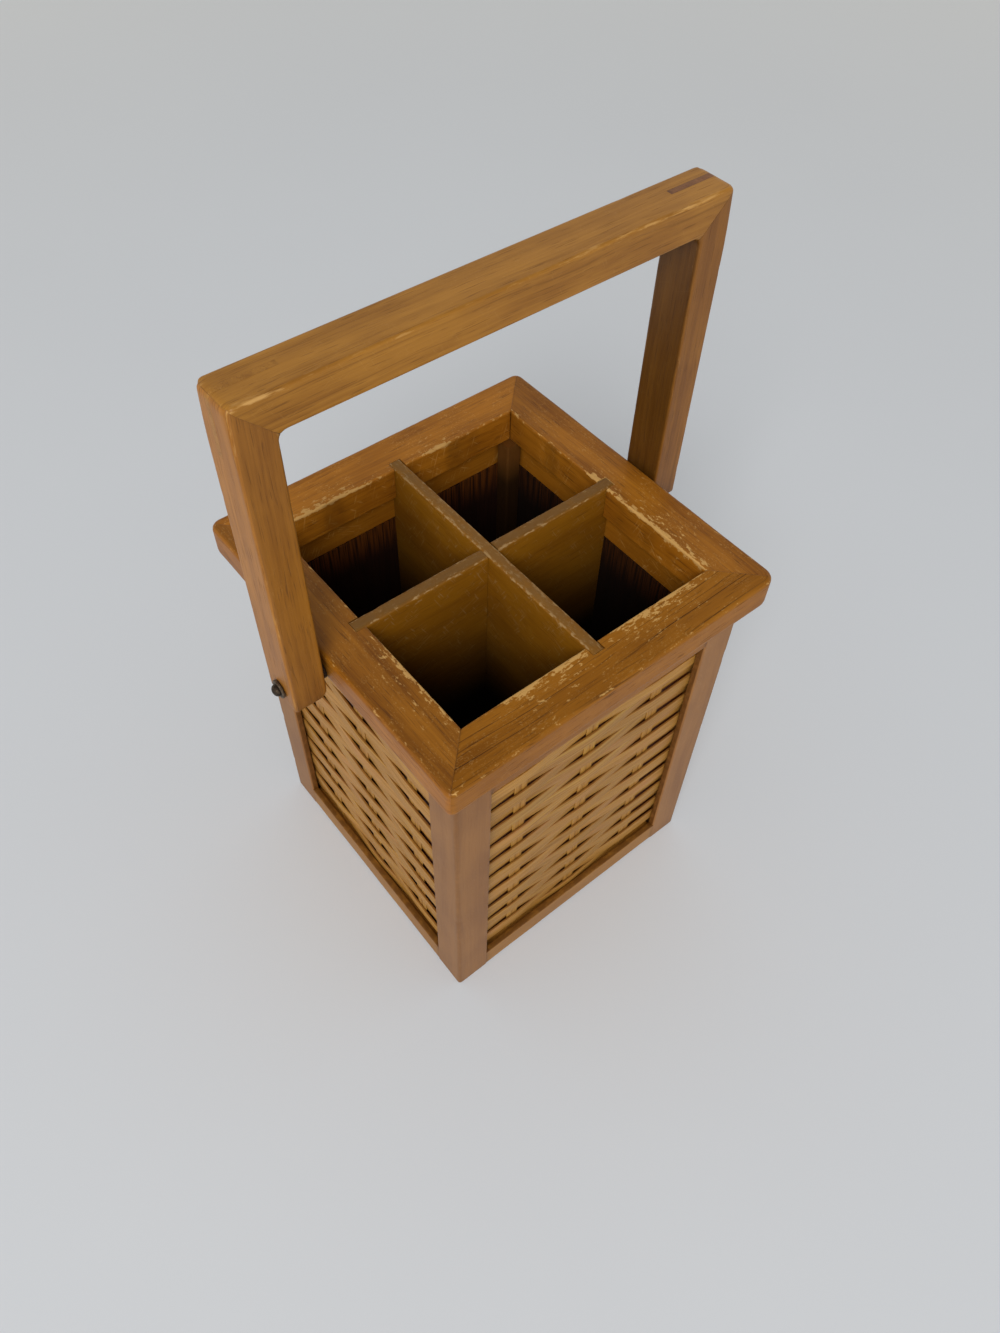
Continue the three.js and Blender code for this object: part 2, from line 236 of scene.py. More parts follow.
def seen(red, green, blue):
    # a colour as it looks on screen, 0 to 255, made linear
    share = np.array([red, green, blue]) / 255
    linear = np.where(share <= 0.04045, share / 12.92, ((share + 0.055) / 1.055) ** 2.4)
    return (*linear.tolist(), 1.0)


def addNode(tree, kind, inputs=None, **settings):
    node = tree.nodes.new("ShaderNode" + kind)
    for name, value in settings.items():
        setattr(node, name, value)
    for name, value in (inputs or {}).items():
        if isinstance(value, bpy.types.NodeSocket):
            tree.links.new(value, node.inputs[name])
        else:
            node.inputs[name].default_value = value
    return node


def maths(tree, operation, first, second=0.0, clamped=False):
    return addNode(tree, "Math", {0: first, 1: second}, operation=operation, use_clamp=clamped).outputs[0]


def times(tree, first, second, clamped=False):
    return maths(tree, "MULTIPLY", first, second, clamped)


def plus(tree, first, second, clamped=False):
    return maths(tree, "ADD", first, second, clamped)


def mixed(tree, share, first, second):
    return addNode(tree, "Mix", {0: share, 6: first, 7: second}, data_type="RGBA").outputs[2]


def ramped(tree, value, low, high, toLow=0.0, toHigh=1.0):
    inputs = {"Value": value, "From Min": low, "From Max": high, "To Min": toLow, "To Max": toHigh}
    return addNode(tree, "MapRange", inputs, interpolation_type="SMOOTHSTEP").outputs[0]


def stretched(tree, vector, amounts):
    return addNode(tree, "VectorMath", {0: vector, 1: amounts}, operation="MULTIPLY").outputs[0]


def split(tree, vector):
    return addNode(tree, "SeparateXYZ", {0: vector}).outputs


def noise(tree, vector, cells, detail=2.0, roughness=0.5):
    # cells is how many spots there are in each unit along the three axes
    place = stretched(tree, vector, cells)
    inputs = {"Vector": place, "Scale": 1.0, "Detail": detail, "Roughness": roughness}
    return addNode(tree, "TexNoise", inputs).outputs[0]


def spots(tree, vector, look, toLow=0.0, toHigh=1.0):
    # noise pushed towards two levels by a ramp over its span
    value = noise(tree, vector, look["cells"], look.get("detail", 2.0), look.get("roughness", 0.5))
    return ramped(tree, value, *look["span"], toLow, toHigh)


def newGroup(name, inputs, outputs):
    group = bpy.data.node_groups.new(name, "ShaderNodeTree")
    for socketName, kind in inputs.items():
        group.interface.new_socket(socketName, in_out="INPUT", socket_type="NodeSocket" + kind)
    for socketName, kind in outputs.items():
        group.interface.new_socket(socketName, in_out="OUTPUT", socket_type="NodeSocket" + kind)
    return group, group.nodes.new("NodeGroupInput").outputs, group.nodes.new("NodeGroupOutput").inputs


# Wood grain on coordinates in millimetres with X along the grain: broad figure, fine streaks,
# thin growth lines at wandering distances, and short open pores
growth = {
    "sway": {"cells": (0.009, 0.02, 0.02), "reach": 6.0},
    "figure": {"cells": (0.0018, 0.16, 0.16), "span": (0.32, 0.68)},
    "lines": {"cells": (0.022, 0.4, 0.4), "span": (0.42, 0.6), "rings": 0.19, "wander": 1.6, "width": 0.07},
    "streaks": {"cells": (0.018, 0.85, 0.85), "detail": 5.0, "roughness": 0.65, "span": (0.3, 0.7),
                "relief": 0.25},
    "blotches": {"cells": (0.03, 0.05, 0.05), "detail": 3.0, "span": (0.3, 0.7), "strength": 0.2},
    "pores": {"cells": (0.085, 2.6, 2.6), "detail": 1.0, "span": (0.6, 0.72)},
}


def makeWoodGrain():
    group, given, result = newGroup(
        "woodGrain",
        {"Grain": "Vector", "Light": "Color", "Dark": "Color", "Pore": "Color",
         "Figure": "Float", "Streaks": "Float", "Lines": "Float", "Pores": "Float"},
        {"Color": "Color", "Height": "Float", "Pores": "Float"},
    )
    sway = times(group, noise(group, given["Grain"], growth["sway"]["cells"]), growth["sway"]["reach"])
    aside = addNode(group, "CombineXYZ", {"Y": sway, "Z": sway}).outputs[0]
    bent = addNode(group, "VectorMath", {0: given["Grain"], 1: aside}, operation="ADD").outputs[0]
    broad = noise(group, bent, growth["figure"]["cells"])
    figure = ramped(group, broad, *growth["figure"]["span"])
    # growth lines lie where the distance across, wandering with the figure, is a whole number of rings
    axes, look = split(group, bent), growth["lines"]
    across = times(group, plus(group, axes[1], axes[2]), look["rings"])
    level = maths(group, "PINGPONG", plus(group, across, times(group, broad, look["wander"])), 0.5)
    lines = ramped(group, level, 0.0, look["width"], 1.0, 0.0)
    lines = times(group, lines, spots(group, bent, look))
    streak = spots(group, bent, growth["streaks"])
    strength = growth["blotches"]["strength"]
    blotch = spots(group, given["Grain"], growth["blotches"], -strength, strength)
    dash = spots(group, bent, growth["pores"])
    shade = plus(group, times(group, figure, given["Figure"]), times(group, streak, given["Streaks"]))
    shade = plus(group, shade, blotch, clamped=True)
    pores, drawnLines = times(group, dash, given["Pores"]), times(group, lines, given["Lines"])
    pores = maths(group, "MAXIMUM", pores, drawnLines, clamped=True)
    wood = mixed(group, shade, given["Light"], given["Dark"])
    height = maths(group, "SUBTRACT", times(group, streak, growth["streaks"]["relief"]), pores)
    group.links.new(mixed(group, pores, wood, given["Pore"]), result["Color"])
    group.links.new(height, result["Height"])
    group.links.new(pores, result["Pores"])
    return group


# Pale flecks where the wear field is high: the field lowers the level above which noise counts as worn
flecks = {"cells": (0.31, 0.7, 0.7), "detail": 5.0, "roughness": 0.66, "span": (0.28, 0.72),
          "level": 1.05, "lowered": 0.85, "cover": 0.8}


def makeEdgeWear():
    group, given, result = newGroup(
        "edgeWear",
        {"Color": "Color", "Worn": "Color", "Wear": "Float", "Sharpness": "Float", "Grain": "Vector"},
        {"Color": "Color", "Mask": "Float"},
    )
    fleck = spots(group, given["Grain"], flecks)
    level = maths(group, "SUBTRACT", flecks["level"], times(group, given["Wear"], flecks["lowered"]))
    above = times(group, maths(group, "SUBTRACT", fleck, level), given["Sharpness"], clamped=True)
    mask = times(group, above, flecks["cover"])
    group.links.new(mixed(group, mask, given["Color"], given["Worn"]), result["Color"])
    group.links.new(mask, result["Mask"])
    return group


# Dark dirt in seams and on handled places, and painted shade in recesses, between reeds and inside the box,
# broken up by noise
dirtAndShade = {"cells": (0.25, 0.4, 0.4), "detail": 4.0, "span": (0.25, 0.6), "least": 0.45}


def makeGrimeAndShade():
    group, given, result = newGroup(
        "grimeAndShade", {"Color": "Color", "DirtAndShade": "Color", "SoilAndShade": "Float", "Grain": "Vector"}, {"Color": "Color"}
    )
    patchy = spots(group, given["Grain"], dirtAndShade, dirtAndShade["least"])
    mask = times(group, given["SoilAndShade"], patchy, clamped=True)
    group.links.new(mixed(group, mask, given["Color"], given["DirtAndShade"]), result["Color"])
    return group


# Short pale scratches: two sets of dashes that slant across the grain, kept in patches
scratch = {
    "slants": (0.5, -1.1), "dashes": {"cells": (0.16, 1.5, 1.5), "detail": 1.0, "span": (0.62, 0.72)},
    "patches": {"cells": (0.09, 0.09, 0.09), "span": (0.42, 0.58)},
}


def makeScratches():
    group, given, result = newGroup(
        "scratches", {"Color": "Color", "Pale": "Color", "Amount": "Float", "Grain": "Vector"},
        {"Color": "Color"},
    )
    patch = spots(group, given["Grain"], scratch["patches"])
    marks = 0.0
    for slant in scratch["slants"]:
        turn = {"Vector": given["Grain"], "Angle": slant}
        slanted = addNode(group, "VectorRotate", turn, rotation_type="Y_AXIS").outputs[0]
        marks = plus(group, marks, spots(group, slanted, scratch["dashes"]), clamped=True)
    mask = times(group, times(group, marks, patch), given["Amount"])
    group.links.new(mixed(group, mask, given["Color"], given["Pale"]), result["Color"])
    return group


woodGrain, edgeWear, grimeAndShade, scratches = makeWoodGrain(), makeEdgeWear(), makeGrimeAndShade(), makeScratches()


def newMaterial(name, roughness, **sockets):
    material = bpy.data.materials.new(name)
    material.use_nodes = True
    tree = material.node_tree
    shader = tree.nodes["Principled BSDF"]
    shader.inputs["Roughness"].default_value = roughness
    for socketName, value in sockets.items():
        shader.inputs[socketName.replace("_", " ")].default_value = value
    return material, tree, shader.inputs


def placed(tree, group, inputs):
    return addNode(tree, "Group", inputs, node_tree=group).outputs


def field(tree, name, output="Fac"):
    return addNode(tree, "Attribute", attribute_name=name).outputs[output]


def toned(tree, colour):
    # lighter or darker by the tone field
    value = plus(tree, field(tree, "tone"), 1.0)
    return addNode(tree, "HueSaturation", {"Value": value, "Color": colour}).outputs[0]


def soiledAndShaded(tree, colour, dirtColour, grain):
    inputs = {"Color": colour, "DirtAndShade": dirtColour, "SoilAndShade": field(tree, "soilAndShade"), "Grain": grain}
    return placed(tree, grimeAndShade, inputs)[0]


def relieved(tree, shader, height, strength, distance):
    relief = addNode(tree, "Bump", {"Strength": strength, "Distance": distance, "Height": height})
    tree.links.new(relief.outputs[0], shader["Normal"])


def millimetres(tree, order):
    # Object coordinates in millimetres with their axes put in another order
    axes = split(tree, addNode(tree, "TexCoord").outputs["Object"])
    joined = addNode(tree, "CombineXYZ", {k: axes[axis] for k, axis in enumerate(order)}).outputs[0]
    return stretched(tree, joined, (1000, 1000, 1000))


# Wood: pores and worn places are rougher than the rest
matting = {"pores": 0.25, "worn": 0.3, "reliefStrength": 0.5}


def woodFinish(name, look, grainOrder=None):
    # a board that keeps its own solid has no fields: its grain follows Object coordinates in the order given
    material, tree, shader = newMaterial(name, look["roughness"], Specular_IOR_Level=look["sheen"])
    grain = millimetres(tree, grainOrder) if grainOrder else field(tree, "grain", "Vector")
    lines = look["lines"] if grainOrder else times(tree, field(tree, "lined"), look["lines"])
    wood = placed(tree, woodGrain, {
        "Grain": grain, "Light": look["light"], "Dark": look["dark"], "Pore": look["pore"],
        "Figure": look["figure"], "Streaks": look["streaks"], "Lines": lines, "Pores": look["pores"],
    })
    colour, matt = wood["Color"], times(tree, wood["Pores"], matting["pores"])
    # painted light on the liners: a lighter band near the top, in vertical streaks, and a lighter brown on
    # the outer face
    if "outside" in look:
        axes = split(tree, millimetres(tree, (0, 1, 2)))
        reach = maths(tree, "MAXIMUM", maths(tree, "ABSOLUTE", axes[0]), maths(tree, "ABSOLUTE", axes[1]))
        share = times(tree, ramped(tree, axes[2], *look["paintedLightSpan"]), spots(tree, grain, look["paintedLightStreaks"]))
        colour = mixed(tree, share, colour, look["upper"])
        colour = mixed(tree, ramped(tree, reach, *look["outsideSpan"]), colour, look["outside"])
    if grainOrder is None:
        reached = maths(tree, "SUBTRACT", 1.0, field(tree, "spared"))
        colour = placed(tree, scratches, {
            "Color": colour, "Pale": look["worn"], "Grain": grain,
            "Amount": times(tree, reached, look["scratches"]),
        })[0]
        worn = placed(tree, edgeWear, {
            "Color": toned(tree, colour), "Worn": look["worn"], "Wear": field(tree, "wear"),
            "Sharpness": look["sharpness"], "Grain": stretched(tree, grain, look.get("fleck", (1, 1, 1))),
        })
        colour = soiledAndShaded(tree, worn["Color"], look["dirtAndShade"], grain)
        matt = plus(tree, matt, times(tree, worn["Mask"], matting["worn"]))
    tree.links.new(colour, shader["Base Color"])
    tree.links.new(plus(tree, matt, look["roughness"], clamped=True), shader["Roughness"])
    relieved(tree, shader, wood["Height"], matting["reliefStrength"], look["relief"])
    return material


dirtBrown = seen(38, 20, 8)
rimLook = {
    "light": seen(162, 103, 24), "dark": seen(116, 66, 7), "pore": seen(66, 34, 6),
    "worn": seen(210, 166, 98), "dirtAndShade": dirtBrown, "figure": 0.4, "streaks": 0.45, "lines": 0.12,
    "pores": 0.5, "roughness": 0.42, "sheen": 0.25, "relief": 0.1 * mm, "sharpness": 5.0, "scratches": 0.22,
}
rimWood = woodFinish("rimWood", rimLook)
linedRimWood = woodFinish("linedRimWood", {
    **rimLook, "lines": 0.95, "figure": 0.32, "streaks": 0.34, "sheen": 0.15,
})
innerRailWood = woodFinish("innerRailWood", {
    **rimLook, "figure": 0.15, "streaks": 0.3, "pores": 0.25, "scratches": 0.35,
})
# the frame's dirt colour is also the colour of the painted shade on the posts
frameLook = {
    "light": seen(149, 101, 48), "dark": seen(121, 76, 31), "pore": seen(94, 58, 24),
    "worn": seen(190, 146, 94), "dirtAndShade": seen(92, 54, 12), "figure": 0.35, "streaks": 0.28, "lines": 0.0,
    "pores": 0.12, "roughness": 0.46, "sheen": 0.35, "relief": 0.05 * mm, "sharpness": 3.0, "scratches": 0.1,
}
frameWood = woodFinish("frameWood", frameLook)
lowerRailWood = woodFinish("lowerRailWood", {
    **frameLook, "light": seen(149, 102, 35), "dark": seen(121, 77, 21),
})
handleLook = {
    "light": seen(171, 118, 40), "dark": seen(128, 80, 16), "pore": seen(84, 46, 12),
    "worn": seen(206, 160, 94), "dirtAndShade": dirtBrown, "figure": 0.35, "streaks": 0.38, "lines": 0.3,
    "pores": 0.45, "roughness": 0.42, "sheen": 0.3, "relief": 0.06 * mm, "sharpness": 1.6, "scratches": 0.08,
    "fleck": (0.3, 0.9, 0.9),
}
handleWood = woodFinish("handleWood", handleLook)
legWood = woodFinish("legWood", {**handleLook, "light": seen(171, 112, 35), "dark": seen(128, 76, 13)})
dividerWood = woodFinish("dividerWood", {
    "light": seen(146, 96, 14), "dark": seen(112, 66, 5), "pore": seen(80, 46, 8),
    "worn": seen(172, 140, 94), "dirtAndShade": seen(118, 87, 46), "figure": 0.3, "streaks": 0.25, "lines": 0.0,
    "pores": 0.4, "roughness": 0.5, "sheen": 0.25, "relief": 0.05 * mm, "sharpness": 4.0, "scratches": 0.36,
})
splineWood = woodFinish("splineWood", {
    "light": seen(140, 94, 58), "dark": seen(110, 70, 42), "pore": seen(76, 46, 26),
    "worn": seen(170, 122, 82), "dirtAndShade": dirtBrown, "figure": 0.4, "streaks": 0.5, "lines": 0.0, "pores": 0.4,
    "roughness": 0.5, "sheen": 0.3, "relief": 0.05 * mm, "sharpness": 3.0, "scratches": 0.0,
})
linerLook = {
    "light": seen(40, 18, 7), "dark": seen(24, 9, 4), "pore": seen(14, 6, 4),
    "outside": seen(132, 62, 24), "outsideSpan": (64.0, 64.5),
    "upper": seen(104, 56, 12), "paintedLightSpan": (148.0, 167.0),
    "paintedLightStreaks": {"cells": (0.03, 1.0, 1.0), "detail": 3.0, "span": (0.36, 0.62)},
    "figure": 0.4, "streaks": 0.6, "lines": 0.3, "pores": 0.5,
    "roughness": 0.6, "sheen": 0.25, "relief": 0.08 * mm,
}
linerAcrossX = woodFinish("linerStainAndPaintedLightFrontBack", linerLook, (2, 0, 1))
linerAcrossY = woodFinish("linerStainAndPaintedLightSides", {
    **linerLook, "light": seen(24, 10, 4), "dark": seen(14, 6, 3), "upper": seen(66, 34, 8),
}, (2, 1, 0))
boardStain = woodFinish("boardStain", linerLook, (0, 1, 2))

# Flat reed: fibres along each strip, patches of pink and straw, darker at the edges
reedLook = {
    "tan": seen(180, 130, 56), "brown": seen(136, 89, 28), "straw": seen(194, 149, 62),
    "pink": seen(178, 123, 68), "shadow": seen(104, 56, 18),
    "fibres": {"cells": (0.025, 2.6, 1.0), "detail": 4.0, "roughness": 0.65},
    "brownSpan": (0.38, 0.75), "roughSpan": (0.3, 0.7),
    "strawBands": {"cells": (0.012, 0.55, 1.0), "span": (0.5, 0.75), "share": 0.6},
    "pinkPatches": {"cells": (0.03, 0.12, 1.0), "span": (0.52, 0.72), "share": 0.55},
    "roughness": 0.5, "smoother": 0.08, "rougher": 0.12, "sheen": 0.35,
    "relief": 0.1 * mm, "reliefStrength": 0.6,
}


def reedFinish(look):
    material, tree, shader = newMaterial("reed", look["roughness"], Specular_IOR_Level=look["sheen"])
    grain = field(tree, "grain", "Vector")
    fibre = noise(tree, grain, **look["fibres"])
    straw = spots(tree, grain, look["strawBands"], toHigh=look["strawBands"]["share"])
    pink = spots(tree, grain, look["pinkPatches"], toHigh=look["pinkPatches"]["share"])
    colour = mixed(tree, ramped(tree, fibre, *look["brownSpan"]), look["tan"], look["brown"])
    colour = mixed(tree, straw, colour, look["straw"])
    colour = mixed(tree, pink, colour, look["pink"])
    colour = soiledAndShaded(tree, toned(tree, colour), look["shadow"], grain)
    tree.links.new(colour, shader["Base Color"])
    smooth, rough = look["roughness"] - look["smoother"], look["roughness"] + look["rougher"]
    tree.links.new(ramped(tree, fibre, *look["roughSpan"], smooth, rough), shader["Roughness"])
    relieved(tree, shader, fibre, look["reliefStrength"], look["relief"])
    return material


# Old steel: mottled tarnish on Object coordinates
tarnish = {"cells": (0.9, 0.9, 0.9), "detail": 5.0, "roughness": 0.65, "span": (0.35, 0.65),
           "rougher": 0.2, "relief": 0.05 * mm, "reliefStrength": 0.3}


def metalFinish(name, clean, dull, roughness, metallic):
    material, tree, shader = newMaterial(name, roughness, Metallic=metallic)
    mottle = spots(tree, millimetres(tree, (0, 1, 2)), tarnish)
    tree.links.new(mixed(tree, mottle, clean, dull), shader["Base Color"])
    rough = ramped(tree, mottle, 0.0, 1.0, roughness, roughness + tarnish["rougher"])
    tree.links.new(rough, shader["Roughness"])
    relieved(tree, shader, mottle, tarnish["reliefStrength"], tarnish["relief"])
    return material


reed = reedFinish(reedLook)
# the dark screw steel also serves the spacers, as painted shade in the gap between leg and rim
screwSteelAndGapShade = metalFinish("bronzedSteelAndGapShade", seen(74, 62, 50), seen(44, 34, 27), 0.4, 0.85)
washerSteel = metalFinish("dullSteel", seen(112, 98, 82), seen(74, 60, 46), 0.48, 0.8)
print("materials ready")


# Rim: four mitred rails, with a notch for a divider in the middle of each inner face
rim = {
    "cornerRadius": {"front_left": 3.0 * mm, "front_right": 6.0 * mm,
                     "back_right": 4.0 * mm, "back_left": 5.0 * mm},
    "topEdge": 1.8 * mm, "lowerEdge": 4.0 * mm, "innerEdge": 0.8 * mm,
    "notchHalf": 2.95 * mm, "notchPast": 0.2 * mm, "seam": 0.12 * mm, "chip": 0.25 * mm, "sag": 0.05 * mm,
    "step": 1.2 * mm, "fanFrom": 6 * mm,
    "fromSeam": np.array([20, 15, 11, 8, 6, 4.5, 3.4, 2.6, 1.9, 1.3, 0.8, 0.4, 0.2, 0]) * mm,
    "worn": {"front": [(-22 * mm, 22 * mm), (32 * mm, 24 * mm)],
             "right": [(-33 * mm, 29 * mm), (2 * mm, 8 * mm)],
             "back": [(38 * mm, 20 * mm), (-20 * mm, 7 * mm)],
             "left": [(32 * mm, 24 * mm)]},
    "dusty": {"front": [], "right": [(-50 * mm, 24 * mm)], "back": [], "left": []},
    "dustWear": 0.3, "dustTone": 0.3, "bandReach": 9.0 * mm, "smudge": 0.3, "spared": 0.7,
    "innerReach": 1.1 * mm, "outerReach": 1.6 * mm, "cornerReach": 14 * mm, "seamReach": 0.4 * mm,
    "wear": {"innerEdge": 0.5, "outerEdge": 0.16, "corner": 0.25, "top": 0.13, "face": 0.1},
    "bandWear": {"front": 0.5, "right": 0.42, "back": 0.4, "left": 0.32},
    "innerWear": {"front": 0.45, "right": 0.62, "back": 0.6, "left": 0.4},
    "dirtySeam": {"front": 0.4, "right": 0.3, "back": 0.2, "left": 0.2}, "otherSeam": 0.25,
    # the tones by side are painted light in part: the back rail is lightened as by a sheen
    "tone": {"front": -0.13, "right": 0.08, "back": 0.34, "left": -0.08}, "edgePaintedShade": -0.13,
    "outerPaintedLight": {"front": 0.06, "right": 0.0, "back": -0.15, "left": 0.3},
    "innerTone": {"front": 0.0, "right": 0.06, "back": 0.04, "left": 0.0},
    "grainShift": np.array([310, 47, 29]), "seed": 10,
}


def rimRail(side, quarters):
    # a section of r, the distance from the middle, and z, carried along x: straight stations in the middle,
    # then a fan that ends on the mitre where x equals r
    low, high = boxOf("front_rim_rail")
    half, inner, bottom, top = -low[1], -high[1], low[2], high[2]
    notchEnd = boxOf("crosswise_divider")[1][1] + rim["notchPast"]
    corners = [(half, bottom), (half, top), (inner, top), (inner, bottom)]
    radii = [rim["lowerEdge"], rim["topEdge"], rim["innerEdge"], rim["innerEdge"]]
    outline = roundedOutline(corners, radii)
    r, z = outline.T
    straight = inner - rim["fanFrom"]
    walls = rim["notchHalf"] + np.array([-hair, hair])
    middle = np.linspace(-straight, straight, 2 * round(straight / rim["step"]) + 1)
    middle = np.unique(np.concatenate([middle, walls, -walls]))
    x = bothWays(fanned(straight, r, rim["fromSeam"] / (half - straight)), middle)
    seamGap = r - np.abs(x)
    seed = rim["seed"] + quarters
    worn = bump(x, rim["worn"][side])
    innerTop = nearTo(outline, corners[2], rim["innerReach"])
    outerTop = nearTo(outline, corners[1], rim["outerReach"])
    chips = peaks(x, seed, 11 * mm, 0.55) * (0.3 + worn)
    depth = seamDip(seamGap, rim["seam"]) + rim["chip"] * chips * (innerTop + 0.6 * outerTop)
    depth = depth + rim["sag"] * np.maximum(1 + waver(x, seed + 40, 45 * mm), 0)
    r2, z2 = np.moveaxis(drawnIn(outline, depth), -1, 0)
    # the notch's end, a touch slanted so that its points stay apart
    inNotch = np.abs(x) < rim["notchHalf"]
    pushed = notchEnd + (r2 - inner) * 0.02
    r2 = np.where(inNotch & (r2 < notchEnd), np.maximum(pushed, r2), r2)
    cornerRadius = [rim["cornerRadius"][cornerNames[(quarters + k) % 4]] for k in (0, 1)]
    u, v = roundShell(half - np.abs(x), half - r2, np.where(x < 0, *cornerRadius))
    grid = np.stack([np.sign(x) * (half - u), v - half, z2], -1)
    onTop = limited((z - top + 1.5 * mm) / mm)
    onOuter = limited((r - half + 1.5 * mm) / mm)
    onInner = limited((inner + 0.6 * mm - r) / (0.4 * mm))
    dusty = onInner * bump(x, rim["dusty"][side])
    band = fading(r - inner, rim["bandReach"]) * onTop
    least, atCorner = rim["wear"], fading(seamGap, rim["cornerReach"])
    wear = innerTop * (least["innerEdge"] + rim["innerWear"][side] * worn)
    wear = wear + outerTop * (least["outerEdge"] + least["corner"] * atCorner)
    wear = wear + band * worn * rim["bandWear"][side]
    wear = wear + least["top"] * onTop + least["face"] * (r > half - 0.5 * mm) + rim["dustWear"] * dusty
    soilAndShade = np.where(x < 0, rim["dirtySeam"][side], rim["otherSeam"]) * fading(seamGap, rim["seamReach"])
    soilAndShade = soilAndShade * (0.2 + 0.8 * onTop) + rim["smudge"] * onInner * peaks(x, seed + 70, 18 * mm, 0)
    # painted light: the outer faces are lightened or darkened by side, and the rounded top outer edge is
    # darkened against its highlight
    tone = rim["tone"][side] + rim["outerPaintedLight"][side] * onOuter + rim["innerTone"][side] * onInner
    tone = tone + rim["edgePaintedShade"] * outerTop + rim["dustTone"] * dusty
    grain = stacked(x, r, 0.6 * z) / mm + rim["grainShift"] * (quarters + 1)
    fields = {"grain": grain, "wear": wear, "soilAndShade": soilAndShade, "tone": tone,
              "lined": onTop, "spared": rim["spared"] * onOuter}
    finish = linedRimWood if side == "front" else rimWood
    makePiece(f"{side}RimRail", turned(grid, quarters), fields, finish,
              "caddy", [f"{side}_rim_rail"])


for quarters, side in enumerate(sideNames):
    rimRail(side, quarters)
print("rim ready")


# Posts: square, with a groove on the two inner faces that holds rails, mat and liner
post = {
    "outerEdge": 1.5 * mm, "innerEdge": 0.8 * mm, "grooveEdge": 0.15 * mm, "foot": 0.7 * mm,
    "innerFoot": 0.12 * mm, "step": 2.0 * mm, "dent": 0.3 * mm,
    "tone": {"front_left": 0.0, "front_right": 0.03, "back_right": -0.02, "back_left": 0.02},
    "indoorShade": 0.36, "deepShade": 0.52, "deepFrom": 11 * mm, "deepOver": 16 * mm,
    "edgeReach": 1.6 * mm, "edgeWear": 0.12, "wearWaver": 0.25,
    "edgeDirtAndShade": 0.6, "recessShade": 0.85, "indoorShadeTint": 0.35, "topSoil": 0.4, "footSoil": 0.2,
    "grainShift": np.array([270, 61, 23]), "seed": 60,
}


def cornerPost(corner, quarters):
    # a section carried up z, drawn in at both ends by the arc of roundedEnds and at dents in its outer edge
    low, high = boxOf("front_left_post")
    outer, inner, top = -low[0], -high[0], high[2]
    matLow = boxOf("front_woven_mat")[0]
    linerHigh = boxOf("front_liner")[1]
    grooveOut, grooveIn = -matLow[1] + slack, -linerHigh[1] - slack
    grooveEnd = -matLow[0] + slack
    corners = [(-outer, -outer), (-inner, -outer), (-inner, -grooveOut), (-grooveEnd, -grooveOut),
               (-grooveEnd, -grooveIn), (-inner, -grooveIn), (-inner, -inner), (-grooveIn, -inner),
               (-grooveIn, -grooveEnd), (-grooveOut, -grooveEnd), (-grooveOut, -inner), (-outer, -inner)]
    radii = np.full(len(corners), post["grooveEdge"])
    radii[0] = post["outerEdge"]
    radii[[1, 6, 11]] = post["innerEdge"]
    outline = roundedOutline(corners, radii, arcSteps=4)
    along, inset = roundedEnds(0, top, post["step"], post["foot"])
    seed = post["seed"] + quarters
    edge = nearTo(outline, corners[0], post["edgeReach"])
    dents = peaks(along, seed, 17 * mm, 0.6) * post["dent"]
    innerInset = np.minimum(inset, post["innerFoot"])[:, None]
    facing = (np.abs(outline) > outer - 2 * mm).any(1)
    depth = innerInset + dents[:, None] * edge + np.where(facing, inset[:, None] - innerInset, 0)
    flat = drawnIn(outline, depth)
    z = along[:, None]
    grid = stacked(flat[..., 0], flat[..., 1], z)
    wear = edge * (post["edgeWear"] + post["wearWaver"] * waver(z, seed + 7, 40 * mm))
    # painted shade: inside the box the posts darken towards the bottom, with an olive tint near the top, and
    # the faces in the panel recesses are darkened
    indoors = (np.abs(outline) < grooveIn + 0.1 * mm).all(1)
    deep = limited((boxOf("front_upper_rail")[0][2] + post["deepFrom"] - z) / post["deepOver"])
    nearest, farthest = np.abs(outline).min(1), np.abs(outline).max(1)
    besidePanel = (np.abs(nearest - inner) < 0.3 * mm) & (farthest > grooveOut)
    besidePanel = besidePanel & (farthest < outer - 0.5 * mm)
    soilAndShade = post["topSoil"] * fading(top - z, 1.2 * mm) + post["footSoil"] * fading(z, 2.5 * mm)
    soilAndShade = soilAndShade + indoors * post["indoorShadeTint"] * (1 - deep)
    soilAndShade = soilAndShade + post["recessShade"] * besidePanel + post["edgeDirtAndShade"] * edge
    grain = stacked(z, outline[:, 0], outline[:, 1]) / mm + post["grainShift"] * (quarters + 5)
    tone = post["tone"][corner] - indoors * (post["indoorShade"] + post["deepShade"] * deep)
    fields = {"grain": grain, "wear": wear, "soilAndShade": soilAndShade, "tone": tone}
    makePiece(f"{corner}Post", turned(grid, quarters), fields, frameWood,
              "caddy", [f"{corner}_post"])


for quarters, corner in enumerate(cornerNames):
    cornerPost(corner, quarters)
print("posts ready")


# Rails between the posts: a lip in front of the mat, and on the lower one a groove for the bottom board
rails = {
    "edge": 0.5 * mm, "step": 2.5 * mm, "intoPost": 0.4 * mm, "sag": 0.04 * mm,
    "lipReach": 0.8 * mm, "lipDepth": 1.0 * mm, "lipTone": -0.16, "spared": 0.85,
    "tone": {"lower": {"front": 0.22, "right": 0.22, "back": 0.16, "left": 0.2},
             "upper": {"front": 0.0, "right": 0.07, "back": 0.14, "left": 0.0}},
    "lipWear": 0.35, "wearWaver": 0.3, "endSoil": 0.55, "ledgeDarkening": {"lower": 0.85, "upper": 0},
    "finish": {"lower": lowerRailWood, "upper": innerRailWood},
    "grainShift": np.array([190, 53, 31]), "seed": {"lower": 80, "upper": 90},
}


